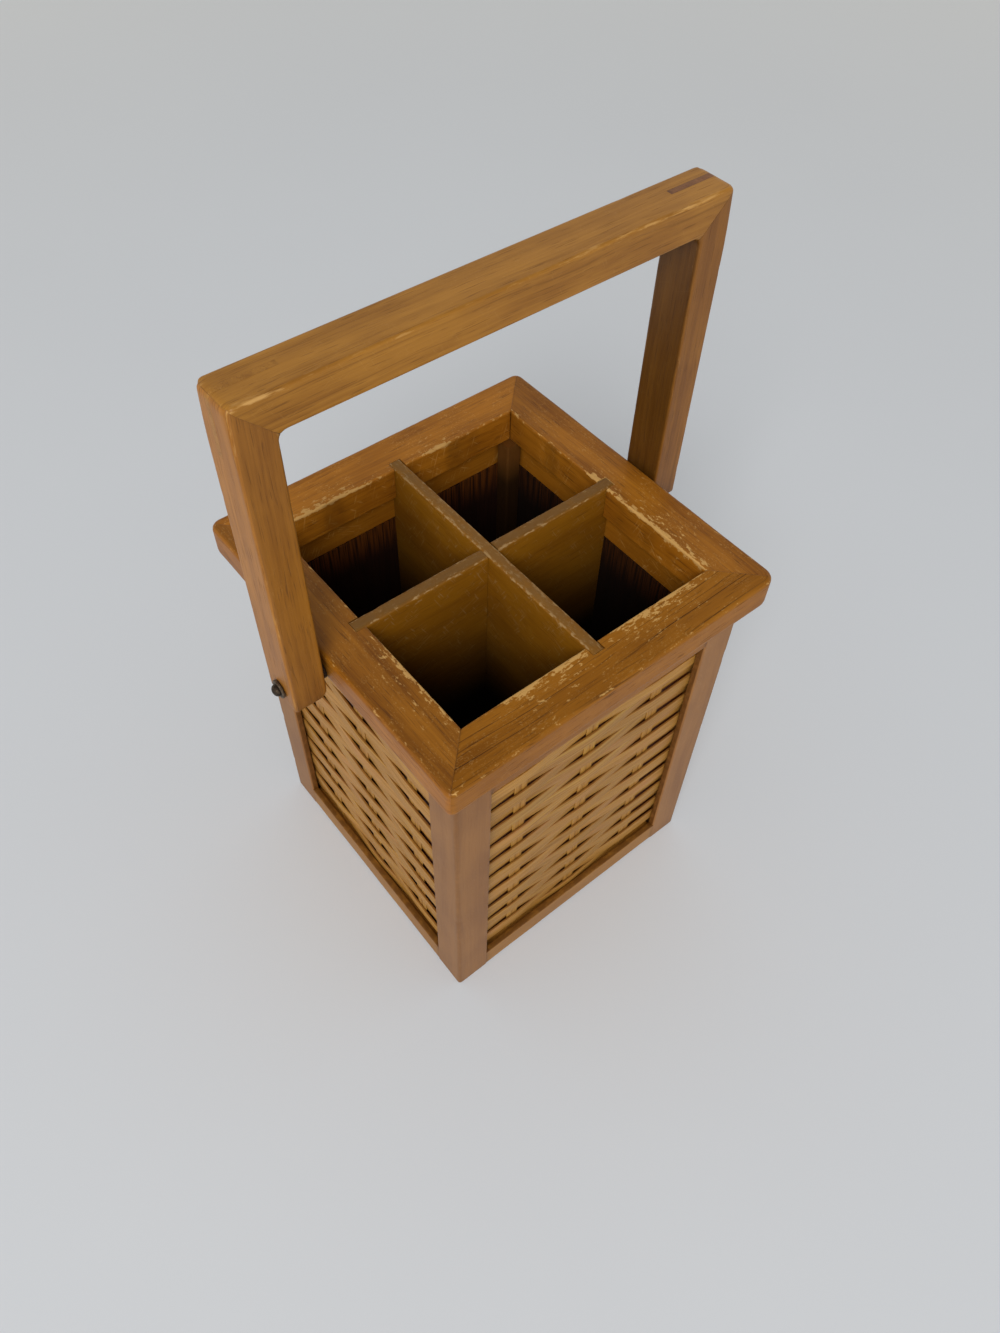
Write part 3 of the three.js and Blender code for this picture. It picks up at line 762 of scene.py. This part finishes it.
def betweenPosts(side, quarters, level, corners):
    # a section of y and z carried along x, drawn in a little where the waver is high
    postInner = -boxOf("front_left_post")[1][0]
    outline = roundedOutline(corners, rails["edge"], arcSteps=3)
    reach = postInner + rails["intoPost"]
    x = np.linspace(-reach, reach, round(2 * reach / rails["step"]) + 1)[:, None]
    seed = rails["seed"][level] + quarters
    flat = drawnIn(outline, rails["sag"] * (1 + waver(x, seed, 50 * mm)))
    grid = stacked(x, flat[..., 0], flat[..., 1])
    lip = nearTo(outline, corners[0], rails["lipReach"]) + nearTo(outline, corners[-1], rails["lipReach"])
    wear = lip * (rails["lipWear"] + rails["wearWaver"] * waver(x, seed + 3, 25 * mm))
    onLedge = limited((outline[:, 1] - corners[-1][1] + 0.5 * mm) / (0.4 * mm))
    soilAndShade = rails["endSoil"] * fading((postInner - np.abs(x)).clip(0), 0.7 * mm)
    # the shelf under the mat is painted darker
    soilAndShade = soilAndShade + rails["ledgeDarkening"][level] * onLedge
    onLip = (outline[:, 0] < corners[0][0] + rails["lipDepth"]) & (level == "upper")
    fields = {"grain": grid / mm + rails["grainShift"] * (seed - 70), "wear": wear, "soilAndShade": soilAndShade,
              "tone": np.where(onLip, rails["lipTone"], rails["tone"][level][side]),
              "spared": rails["spared"] * onLip}
    makePiece(f"{side}{level.capitalize()}Rail", turned(grid, quarters), fields, rails["finish"][level],
              "caddy", [f"{side}_{level}_rail"])


def upperRail(side, quarters):
    # a section with a lip in front of the mat and a rabbet over it
    low, high = boxOf("front_upper_rail")
    matLow, matHigh = boxOf("front_woven_mat")
    lipBack, rabbet = matLow[1] - slack, matHigh[2] + slack
    betweenPosts(side, quarters, "upper", [
        (low[1], low[2]), (lipBack, low[2]), (lipBack, rabbet), (high[1], rabbet),
        (high[1], high[2]), (low[1], high[2])])


def lowerRail(side, quarters):
    # a section with a lip, a shelf for the mat, and a groove for the bottom board
    low, high = boxOf("front_lower_rail")
    matLow = boxOf("front_woven_mat")[0]
    boardLow, boardHigh = boxOf("bottom_board")
    lipBack, shelf = matLow[1] - slack, matLow[2] - slack
    grooveBack, grooveTop = boardLow[1] - slack, boardHigh[2] + slack
    betweenPosts(side, quarters, "lower", [
        (low[1], low[2]), (high[1], low[2]), (high[1], boardLow[2]), (grooveBack, boardLow[2]),
        (grooveBack, grooveTop), (high[1], grooveTop), (high[1], shelf), (lipBack, shelf),
        (lipBack, high[2]), (low[1], high[2])])


for quarters, side in enumerate(sideNames):
    upperRail(side, quarters)
    lowerRail(side, quarters)
print("rails ready")


# Woven mats: level reeds edge to edge, each passing in front of and behind the stakes in turn
weave = {
    "pitch": {"front": 7.36 * mm, "right": 7.5 * mm, "back": 7.4 * mm, "left": 8.0 * mm},
    "firstEdge": 9.2 * mm, "edgeGap": 0.05 * mm, "leastWidth": 1.5 * mm, "thickness": 1.3 * mm,
    "stakeSpacing": 36.8 * mm, "flatHalf": 3.6 * mm, "ease": 2.6 * mm, "endSwing": (0.4, 0.9),
    "stations": 150, "around": 28, "squareness": 8.0, "cup": 0.12 * mm, "wander": 0.16 * mm,
    "uneven": {"front": 0.42 * mm, "right": 0.5 * mm, "back": 0.5 * mm, "left": 0.7 * mm},
    "slope": {"front": 0.0, "right": 0.01, "back": -0.008, "left": -0.05},
    "tone": {"front": -0.1, "right": -0.05, "back": -0.05, "left": 0.0}, "toneSpread": 0.07,
    "edgeDirtAndShade": 0.6,
}


def wovenMat(side, quarters):
    low, high = boxOf("front_woven_mat")
    draw = np.random.default_rng(200 + quarters)
    x = np.linspace(low[0], high[0], weave["stations"])
    # in front at the middle stake, behind at the outer ones, drawn together in the posts,
    # and averaged over a short stretch to ease the bends
    ease = np.linspace(-weave["ease"], weave["ease"], 13)
    flat, outerStake = weave["flatHalf"], weave["stakeSpacing"]
    knots = np.array([flat, outerStake - flat, outerStake + flat, high[0]])
    knots = np.concatenate([-knots[::-1], knots])
    levels = [-weave["endSwing"][0], -1, -1, 1, 1, -1, -1, -weave["endSwing"][1]]
    swing = np.interp(x[:, None] + ease, knots, levels).mean(1)
    swing = swing * ((high[1] - low[1]) - weave["thickness"]) / 2
    # the seams between reeds wander a little along the mat and from row to row
    pitch, slope = weave["pitch"][side], weave["slope"][side]
    rows = int((high[2] - weave["firstEdge"]) / pitch) + 5
    seams = weave["firstEdge"] + (np.arange(rows) - 2) * pitch
    seams = seams + draw.normal(0, weave["uneven"][side], rows)
    tilt = slope * limited(np.arange(rows) / 5) + draw.normal(0, 0.004 + 0.1 * abs(slope), rows)
    wander = np.stack([waver(x, 300 + 30 * quarters + k, 45 * mm) for k in range(rows)]) * weave["wander"]
    seams = seams[:, None] + tilt[:, None] * x + wander
    seams = np.clip(seams, low[2], high[2])
    lower, upper = seams[:-1] + weave["edgeGap"] / 2, seams[1:] - weave["edgeGap"] / 2
    kept = (upper - lower).max(1) > weave["leastWidth"]
    upper = np.maximum(upper, lower + 0.1 * mm)
    parity = np.where(np.arange(rows - 1) % 2 == 0, 1, -1)[kept]
    lower, upper = lower[kept], upper[kept]
    # superellipse section: cos and sin raised to 2 / squareness
    angle = np.linspace(0, 2 * np.pi, weave["around"], endpoint=False)
    power = 2 / weave["squareness"]
    across = np.sign(np.cos(angle)) * np.abs(np.cos(angle)) ** power
    thick = np.sign(np.sin(angle)) * np.abs(np.sin(angle)) ** power * weave["thickness"] / 2
    middle, halfWidth = (lower + upper) / 2, (upper - lower) / 2
    aside = halfWidth[..., None] * across
    depth = (low[1] + high[1]) / 2 - parity[:, None, None] * swing[:, None]
    cup = weave["cup"] * across ** 2
    y = np.clip(depth + thick + cup * np.sign(-thick), low[1], high[1])
    grid = stacked(x[:, None], y, middle[..., None] + aside)
    # every reed has its own part of the pattern
    count = len(middle)
    lane = np.arange(count)[:, None, None]
    grain = stacked(x[:, None] / mm + 173 * lane, aside / mm + 9 * lane, 3.7 * lane + 90 * quarters)
    tone = draw.normal(weave["tone"][side], weave["toneSpread"], count)[:, None]
    tone = tone + 0.05 * waver(x, 700 + quarters, 60 * mm)
    # painted shade, with some dirt, darkens the long edges of each reed
    soilAndShade = weave["edgeDirtAndShade"] * limited((np.abs(across) - 0.93) / 0.05)
    fields = {"grain": grain, "tone": tone[..., None], "soilAndShade": soilAndShade}
    makePiece(f"{side}WovenMat", turned(grid, quarters), fields, reed,
              "caddy", [f"{side}_woven_mat"])


# A stake is two slim canes side by side on a thin web: the half thickness over each grows
# with (1 - |s|^3.2)^0.5, with s from -1 to 1 across the cane
cane = {"flat": 0.68, "web": 0.12, "squareness": 3.2, "steps": 60, "lean": 0.05 * mm,
        "tone": -0.04, "seam": 0.5}


def stake(side, quarters, number):
    low, high = boxOf(f"front_stake_{number}")
    half, thickness = (high[0] - low[0]) / 2, cane["flat"] * (high[1] - low[1])
    s = np.cos(np.linspace(0, np.pi, 25))
    lobes = limited(1 - np.abs(2 * np.abs(s) - 1) ** cane["squareness"]) ** 0.5
    rise = thickness / 2 * (cane["web"] + (1 - cane["web"]) * lobes)
    across, thick = np.concatenate([s * half, -s * half]), np.concatenate([rise, -rise])
    z = np.linspace(low[2], high[2], cane["steps"])[:, None]
    lean = cane["lean"] * waver(z, 400 + 10 * quarters + number, 60 * mm)
    grid = stacked((low[0] + high[0]) / 2 + across + lean, (low[1] + high[1]) / 2 + thick, z)
    grain = stacked(z / mm, across / mm, 5.0 * number) + 77 * quarters
    # painted shade darkens the groove down the middle, between the two canes
    soilAndShade = cane["seam"] * limited(1 - np.abs(across) / (0.5 * mm))
    fields = {"grain": grain, "tone": cane["tone"], "soilAndShade": soilAndShade}
    makePiece(f"{side}Stake{number}", turned(grid, quarters), fields, reed,
              "caddy", [f"{side}_stake_{number}"])


for quarters, side in enumerate(sideNames):
    wovenMat(side, quarters)
    for number in (1, 2, 3):
        stake(side, quarters, number)
print("mats and stakes ready")

# Liners and bottom board are plain boards, so their own solids stay and take the dark stain; the liners also
# take painted light near the top and on the outer face
for side in sideNames:
    liner = frame["nodes"][f"{side}_liner"]
    liner.data.materials[0] = linerAcrossX if side in ("front", "back") else linerAcrossY
frame["nodes"]["bottom_board"].data.materials[0] = boardStain


# Dividers: boards with ears let into the rim, slotted into each other where they cross
divider = {
    "topEdge": 0.9 * mm, "footEdge": 0.4 * mm, "step": 1.5 * mm, "sideRows": 40,
    "slotHalf": 2.95 * mm, "lapHeight": 104 * mm, "lapGap": 0.2 * mm,
    "offset": 0.4 * mm, "offsetReach": 26 * mm, "chip": 0.3 * mm, "flush": 0.06 * mm,
    "edgeWear": 0.8, "wearWaver": 0.25, "topWear": 0.26, "sideWear": 0.14,
    "greyTop": 0.6, "tone": (-0.36, -0.06), "paintedShade": 0.98, "paintedShadeFrom": 14 * mm, "paintedShadeOver": 72 * mm,
}


def dividerBoard(name, node, axis, slotFrom, slotTo, seed):
    # a section carried along the board, between a lower and an upper line that step at the ears and the slot;
    # slotFrom and slotTo bound the wood that is left at the slot
    low, high = boxOf(node)
    rimLow = boxOf("front_rim_rail")[0]
    railInner = -boxOf("front_upper_rail")[1][1]
    half, earReach, boardReach = (high[1 - axis] - low[1 - axis]) / 2, high[axis], railInner - slack
    foot, top = low[2], high[2]
    # the section's points: a place across, a share of the height and a shift,
    # so that its edges stay round whatever the height
    arc = np.linspace(0, np.pi / 2, 5)
    r, f = divider["topEdge"], divider["footEdge"]
    sideShare = np.linspace(0, 1, divider["sideRows"])
    sideShift = -r * sideShare + f * (1 - sideShare)
    section = [
        (half, sideShare, sideShift),
        (half - r + r * np.cos(arc[1:]), 1, r * np.sin(arc[1:]) - r),
        (np.linspace(half - r, r - half, 6)[1:-1], 1, 0),
        (r - half - r * np.sin(arc), 1, r * np.cos(arc) - r),
        (-half, sideShare[-2::-1], sideShift[-2::-1]),
        (np.linspace(f - half, half - f, 6), 0, 0),
    ]
    across, share, shift = np.vstack([stacked(*part) for part in section]).T
    steps = np.linspace(-earReach, earReach, 2 * round(earReach / divider["step"]) + 1)
    walls = np.array([divider["slotHalf"], boardReach])
    walls = np.concatenate([walls - hair, walls + hair])
    along = np.unique(np.concatenate([steps, walls, -walls]))
    inSlot, inEar = np.abs(along) < divider["slotHalf"], np.abs(along) > boardReach
    bottom = np.where(inEar, rimLow[2], np.where(inSlot, slotFrom, foot))
    crest = np.where(inSlot, slotTo, top)
    chips = peaks(along, seed, 9 * mm, 0.5) * divider["chip"]
    z = bottom[:, None] * (1 - share) + crest[:, None] * share + shift
    z = z - (chips[:, None] + divider["flush"]) * (share == 1)
    # the board that is slotted from above has two halves that don't quite line up
    lean = np.sign(along) * divider["offset"] * fading(np.abs(along), divider["offsetReach"])
    lean = lean if slotTo < top else 0 * along
    aside = across + lean[:, None]
    length = along[:, None]
    grid = stacked(length, aside, z) if axis == 0 else stacked(aside, length, z)
    crestEdge = fading(np.abs(np.abs(across) - half + 0.3 * mm), 0.5 * mm) * fading(top - z, 1.0 * mm)
    onTop = limited(1 - (top - z) / (0.8 * mm))
    # painted shade: the boards darken towards the bottom of the box
    paintedShade = divider["paintedShade"] * limited((top - divider["paintedShadeFrom"] - z) / divider["paintedShadeOver"])
    tone = divider["tone"][axis] * onTop - paintedShade
    wear = crestEdge * (divider["edgeWear"] + divider["wearWaver"] * waver(length, seed + 5, 14 * mm))
    wear = wear + onTop * divider["topWear"] + divider["sideWear"]
    soilAndShade = divider["greyTop"] * onTop * (1 - crestEdge)
    grain = stacked(length, aside, z) / mm + 41 * seed
    fields = {"grain": grain, "wear": wear * (1 + tone), "soilAndShade": soilAndShade, "tone": tone}
    makePiece(name, grid, fields, dividerWood, "caddy", [node])


dividerFoot, dividerTop = (corner[2] for corner in boxOf("crosswise_divider"))
lapTop = divider["lapHeight"] - divider["lapGap"]
dividerBoard("crosswiseDivider", "crosswise_divider", 1, divider["lapHeight"], dividerTop, 31)
dividerBoard("lengthwiseDivider", "lengthwise_divider", 0, dividerFoot, lapTop, 32)
print("dividers ready")


# Handle: a bar mitred to two legs, with a wooden key let into each top corner
handle = {
    "edge": 1.2 * mm, "cornerRadius": 2.4 * mm, "crook": 3.2 * mm, "toe": 4.0 * mm, "toeEdge": 1.4 * mm,
    "endRound": 3.2 * mm, "endReach": 26 * mm, "flush": 0.05 * mm, "seam": 0.08 * mm, "chip": 0.2 * mm,
    "step": 1.5 * mm, "fanFrom": 6 * mm,
    "fanShare": np.array([1, 0.75, 0.55, 0.4, 0.28, 0.2, 0.14, 0.09, 0.05, 0.02, 0.01, 0]),
    "worn": [(58 * mm, 36 * mm), (-84 * mm, 12 * mm)], "cornerWear": 0.45, "cornerReach": 2.5 * mm,
    "barWear": {"front": 0.45, "worn": 1.25, "beside": 0.15, "back": 0.3, "under": 0.25, "flat": 0.08},
    "legWear": {"edges": 0.4, "waver": 0.25, "flat": 0.1},
    "seamSoil": 0.16, "seamReach": 0.35 * mm, "toeSoil": 0.3, "innerTone": -0.38,
    "legTone": {"left": -0.25, "right": -0.3}, "legLined": {"left": 0.4, "right": 0.9},
}


def crooked(fromLeg, fromBar):
    # a fillet of radius r in the inner corner: the last r before the mitre is laid on an arc,
    # r(1 - cos a) and r(1 - sin a) from the two faces with a from 45 to 90 degrees
    r = handle["crook"]
    near = np.clip(fromLeg, 0, r)
    angle = np.pi / 4 * (1 + near / r)
    share = limited(1 - fromBar / handle["edge"])
    return share * (r * (1 - np.cos(angle)) - near), share * r * (1 - np.sin(angle))


def softEnds(grid):
    # rounds the upright outer corners with a radius that grows from nothing to its full size at the top
    low, high = boxOf("handle_bar")
    outer, middle, half = boxOf("handle_right_leg")[1][0], (low[1] + high[1]) / 2, (high[1] - low[1]) / 2
    x, y, z = np.moveaxis(grid, -1, 0)
    radius = handle["endRound"] * limited(1 - (high[2] - z) / handle["endReach"])
    u, v = roundShell(outer - np.abs(x), half - np.abs(y - middle), radius)
    return np.stack([np.sign(x) * (outer - u), middle + np.sign(y - middle) * (half - v), z], -1)


def handleBar():
    # a section of y and z carried along x, with fans that end on the mitres, where x is as far
    # from the leg's outer face as z is from the top
    low, high = boxOf("handle_bar")
    legLow, legHigh = boxOf("handle_right_leg")
    outer = legHigh[0]
    corners = [(low[1], low[2]), (high[1], low[2]), (high[1], high[2]), (low[1], high[2])]
    outline = roundedOutline(corners, handle["edge"])
    y, z = outline.T
    end = outer - (high[2] - z)
    straight = end.min() - handle["fanFrom"]
    middle = np.linspace(-straight, straight, 2 * round(straight / handle["step"]) + 1)[1:-1]
    x = bothWays(fanned(straight, end, handle["fanShare"]), middle)
    seamGap = end - np.abs(x)
    frontTop, backTop = nearTo(outline, corners[3], 0.9 * mm), nearTo(outline, corners[2], 0.9 * mm)
    worn = bump(x, handle["worn"])
    chips = peaks(x, 501, 13 * mm, 0.5) * (0.3 + worn)
    depth = handle["flush"] + seamDip(seamGap, handle["seam"])
    depth = depth + handle["chip"] * chips * (frontTop + 0.5 * backTop)
    y2, z2 = np.moveaxis(drawnIn(outline, depth), -1, 0)
    u, v = roundShell(outer - np.abs(x), high[2] - z2, handle["cornerRadius"])
    inward, down = crooked(legLow[0] - np.abs(x), z - low[2])
    grid = np.stack([np.sign(x) * (outer - u - inward), y2, high[2] - v - down], -1)
    amount = handle["barWear"]
    wear = nearTo(outline, corners[3], 0.7 * mm) * (amount["front"] + amount["worn"] * worn)
    wear = wear + backTop * amount["back"] + amount["flat"]
    wear = wear + amount["beside"] * nearTo(outline, corners[3], 3.0 * mm)
    wear = wear + amount["under"] * nearTo(outline, corners[0], 1.0 * mm) * (0.5 + 0.5 * worn)
    atCorner = fading(seamGap, handle["cornerReach"]) * (z > high[2] - handle["edge"])
    wear = wear + handle["cornerWear"] * atCorner
    soilAndShade = handle["seamSoil"] * fading(seamGap, handle["seamReach"])
    grain = stacked(x, y, z) / mm + np.array([900, 13, 71])
    fields = {"grain": grain, "wear": wear, "soilAndShade": soilAndShade, "tone": 0, "lined": 1}
    makePiece("handleBar", softEnds(grid), fields, handleWood, "handle", ["handle_bar"])


def handleLeg(side, sign):
    # a section of x and y carried up z to the same mitre, with a rounded toe
    low, high = boxOf("handle_right_leg")
    barLow, barHigh = boxOf("handle_bar")
    corners = [(low[0], low[1]), (high[0], low[1]), (high[0], high[1]), (low[0], high[1])]
    outline = roundedOutline(corners, handle["edge"])
    x, y = outline.T
    end = barHigh[2] - (high[0] - x)
    straight = end.min() - handle["fanFrom"]
    along, inset = roundedEnds(low[2], straight + 2 * mm, handle["step"], handle["toeEdge"])
    along, inset = along[along < straight], inset[along < straight]
    fan = fanned(straight, end, handle["fanShare"])
    z = np.vstack([np.repeat(along[:, None], len(x), 1), fan])
    inset = np.concatenate([inset, np.zeros(len(fan))])
    seamGap = end - z
    seed = 520 + sign
    edges = sum(nearTo(outline, corner, 0.9 * mm) for corner in corners)
    depth = handle["flush"] + inset[:, None] + seamDip(seamGap, handle["seam"])
    depth = depth + handle["chip"] * peaks(z, seed, 15 * mm, 0.6) * edges
    x2, y2 = np.moveaxis(drawnIn(outline, depth), -1, 0)
    u, v = roundShell(high[0] - x2, barHigh[2] - z, handle["cornerRadius"])
    x2, z2 = high[0] - u, barHigh[2] - v
    u, v = roundShell(x2 - low[0], z2 - low[2], handle["toe"])
    down, inward = crooked(barLow[2] - z, x - low[0])
    grid = np.stack([sign * (low[0] + u - inward), y2, low[2] + v - down], -1)
    amount = handle["legWear"]
    wear = edges * (amount["edges"] + amount["waver"] * waver(z, seed + 9, 45 * mm)) + amount["flat"]
    atCorner = fading(seamGap, handle["cornerReach"]) * (x > high[0] - handle["edge"])
    wear = wear + handle["cornerWear"] * atCorner
    soilAndShade = handle["seamSoil"] * fading(seamGap, handle["seamReach"])
    soilAndShade = soilAndShade + handle["toeSoil"] * fading(z - low[2], 3 * mm)
    tone = handle["innerTone"] * limited(1 - (x - low[0]) / (0.6 * mm))
    tone = tone + handle["legTone"][side] * (x < high[0] - 0.5 * mm)
    grain = stacked(z, x, y) / mm + np.array([500, 87, 17]) * (2 + sign)
    fields = {"grain": grain, "wear": wear, "soilAndShade": soilAndShade, "tone": tone, "lined": handle["legLined"][side]}
    makePiece(f"{side}HandleLeg", softEnds(grid), fields, legWood,
              "handle", [f"handle_{side}_leg"])


# A key is a thin triangle across a top corner, drawn in less than the wood round it, so a touch proud
key = {
    "reach": 22 * mm, "flush": 0.03 * mm, "wear": 0.12, "seam": {"left": 0.12, "right": 0.4},
    "layers": np.array([0, 0.06, 0.12, 0.5, 0.88, 0.94, 1.0]),
    "finish": {"left": handleWood, "right": splineWood},
}


def cornerKey(side, sign):
    # an outline of two straight runs and the quarter arc between them, carried across the handle in y
    low, high = boxOf(f"handle_{side}_spline")
    outer = boxOf("handle_right_leg")[1][0] - key["flush"]
    top, radius = boxOf("handle_bar")[1][2] - key["flush"], handle["cornerRadius"]
    angle = np.linspace(np.pi / 2, 0, 8)
    run = np.linspace(0, 1, 12)[:, None]
    arc = np.stack([outer - radius + radius * np.cos(angle), top - radius + radius * np.sin(angle)], -1)
    first, last = np.array([outer - key["reach"], top]), np.array([outer, top - key["reach"]])
    outline = np.vstack([first + (arc[0] - first) * run[:-1], arc, arc[-1] + (last - arc[-1]) * run[1:]])
    share = key["layers"][:, None]
    x, y, z = sign * outline[:, 0], low[1] + (high[1] - low[1]) * share, outline[:, 1]
    edges = limited((np.abs(share - 0.5) - 0.4) / 0.1)
    soilAndShade = key["seam"][side] * np.maximum(edges, nearTo(outline, first, 0.5 * mm))
    wear = key["wear"] + handle["cornerWear"] * nearTo(outline, (outer, top), handle["cornerReach"])
    grain = stacked(x + z, y, z - x) / mm + 60 * sign
    fields = {"grain": grain, "wear": wear, "soilAndShade": soilAndShade, "tone": 0}
    makePiece(f"{side}CornerKey", stacked(x, y, z), fields, key["finish"][side],
              "handle", [f"handle_{side}_spline"])


handleBar()
for side, sign in (("left", -1), ("right", 1)):
    handleLeg(side, sign)
    cornerKey(side, sign)
print("handle ready")


# Pivot hardware: profiles of radius and reach turned about the pivot line along X
pivot = {
    "segments": 64, "shank": 1.6 * mm, "hole": 1.9 * mm, "point": 4 * mm, "tip": 0.1 * mm,
    "headEdge": 0.35 * mm, "headBevel": 0.2 * mm, "crown": 0.03 * mm, "washerEdge": 0.2 * mm,
    "height": frame["joints"][0]["pos_m"][2],
}


def turnedAboutPivot(profile, sign):
    # x = reach, y = radius cos a, z = height + radius sin a
    angle = np.linspace(0, 2 * np.pi, pivot["segments"], endpoint=False)
    radius, reach = np.array(profile).T[..., None]
    return stacked(sign * reach, radius * np.cos(angle), pivot["height"] + radius * np.sin(angle))


def pivotScrew(side, sign):
    # a pointed shank and a head whose dome is a quarter of an ellipse
    low, high = boxOf("right_pivot_screw")
    washerOut = boxOf("right_outer_washer")[1][0]
    headRadius, domeFrom = high[1], washerOut + pivot["headEdge"]
    angle = np.linspace(0, np.pi / 2, 12)[:, None]
    dome = np.hstack([headRadius * np.cos(angle), domeFrom + (high[0] - domeFrom) * np.sin(angle)])
    dome[-1, 0] = pivot["crown"]
    shank, bevel = pivot["shank"], pivot["headBevel"]
    stem = [(pivot["tip"], low[0]), (shank, low[0] + pivot["point"]), (shank, washerOut - hair),
            (shank + bevel, washerOut), (headRadius - bevel, washerOut), (headRadius, washerOut + bevel)]
    grid = turnedAboutPivot(np.vstack([stem, dome]), sign)
    makePiece(f"{side}PivotScrew", grid, {}, screwSteelAndGapShade, "caddy", [f"{side}_pivot_screw"])


def washer(side, sign, kind):
    # a rounded rectangle of radius and reach turned into a ring
    low, high = boxOf(f"right_{kind}_washer")
    corners = [(pivot["hole"], low[0]), (high[1], low[0]), (high[1], high[0]), (pivot["hole"], high[0])]
    outline = roundedOutline(corners, pivot["washerEdge"], arcSteps=3, flatStep=0.7 * mm)
    grid = turnedAboutPivot(outline, sign).transpose(1, 0, 2)
    # the spacers take the dark screw steel, painted shade in the gap between leg and rim
    finish = washerSteel if kind == "outer" else screwSteelAndGapShade
    makePiece(f"{side}{kind.capitalize()}Washer", grid, {}, finish, "caddy",
              [f"{side}_{kind}_washer"], ringed=True)


for side, sign in (("left", -1), ("right", 1)):
    pivotScrew(side, sign)
    washer(side, sign, "outer")
    washer(side, sign, "spacer")
print("pivots ready")


# Floor, light and camera
stage = {
    "floorHalf": 25.0, "floor": seen(221, 226, 233), "floorCloud": seen(210, 214, 222),
    "floorFar": seen(230, 231, 229), "farSpan": (0.2, 2.2), "glow": (0.44, 0.43, 0.41, 1.0),
    "glowSpan": (0.6, 4.6), "clouds": {"cells": (3, 3, 3), "detail": 3.0, "span": (0.3, 0.7), "share": 0.12},
    "horizon": (0.86, 0.84, 0.81, 1.0), "zenith": (0.34, 0.34, 0.33, 1.0), "zenithFrom": 0.8,
    "key": {"at": (-1.9, -1.75, 2.6), "towards": (0, 0, 0.1), "size": 1.8, "power": 72.0,
            "colour": (1.0, 0.97, 0.93)},
}
camera = {
    "at": (-0.1776, -0.2168, 0.4912), "towards": (0.3931, 0.4595, -0.7965), "roll": 2.12,
    "lens": 27.67, "sensor": 36.0, "clipStart": 0.01,
}


def makeFloor():
    # a large pale square that glows a little in the distance
    material, tree, shader = newMaterial("paleFloor", 0.7, Specular_IOR_Level=0.0, Emission_Strength=1.0)
    place = addNode(tree, "TexCoord").outputs["Object"]
    cloud = spots(tree, place, stage["clouds"], toHigh=stage["clouds"]["share"])
    near = mixed(tree, cloud, stage["floor"], stage["floorCloud"])
    away = addNode(tree, "VectorMath", {0: place}, operation="LENGTH").outputs["Value"]
    far = mixed(tree, ramped(tree, away, *stage["farSpan"]), near, stage["floorFar"])
    glow = mixed(tree, ramped(tree, away, *stage["glowSpan"]), (0, 0, 0, 1), stage["glow"])
    tree.links.new(far, shader["Base Color"])
    tree.links.new(glow, shader["Emission Color"])
    mesh = bpy.data.meshes.new("floor")
    h = stage["floorHalf"]
    mesh.from_pydata([(-h, -h, 0), (h, -h, 0), (h, h, 0), (-h, h, 0)], [], [(0, 1, 2, 3)])
    mesh.materials.append(material)
    floor = bpy.data.objects.new("floor", mesh)
    bpy.context.scene.collection.objects.link(floor)


def makeSky():
    # paler towards the horizon than overhead
    world = bpy.data.worlds.new("studio")
    world.use_nodes = True
    sky = world.node_tree
    axes = split(sky, addNode(sky, "TexCoord").outputs["Generated"])
    height = ramped(sky, maths(sky, "ABSOLUTE", axes[2]), 0.0, stage["zenithFrom"])
    colour = mixed(sky, height, stage["horizon"], stage["zenith"])
    sky.links.new(colour, sky.nodes["Background"].inputs["Color"])
    bpy.context.scene.world = world


def makeLight(name, look):
    light = bpy.data.lights.new(name, "AREA")
    light.shape = "DISK"
    light.size, light.energy, light.color = look["size"], look["power"], look["colour"]
    lamp = bpy.data.objects.new(name, light)
    lamp.location = look["at"]
    lamp.rotation_euler = (Vector(look["towards"]) - lamp.location).to_track_quat("-Z", "Y").to_euler()
    bpy.context.scene.collection.objects.link(lamp)


def makeCamera():
    # looks along the direction given, level but for the roll
    back = -Vector(camera["towards"]).normalized()
    right = Vector((0, 0, 1)).cross(back).normalized()
    level = Matrix((right, back.cross(right), back)).transposed().to_4x4()
    roll = Matrix.Rotation(math.radians(camera["roll"]), 4, "Z")
    lens = bpy.data.cameras.new("photoCamera")
    lens.lens, lens.sensor_width, lens.clip_start = camera["lens"], camera["sensor"], camera["clipStart"]
    eye = bpy.data.objects.new("photoCamera", lens)
    eye.matrix_world = Matrix.Translation(camera["at"]) @ level @ roll
    bpy.context.scene.collection.objects.link(eye)
    bpy.context.scene.camera = eye


makeFloor()
makeSky()
makeLight("key", stage["key"])
makeCamera()
bpy.context.scene.view_settings.view_transform = "Standard"
print("stage ready")
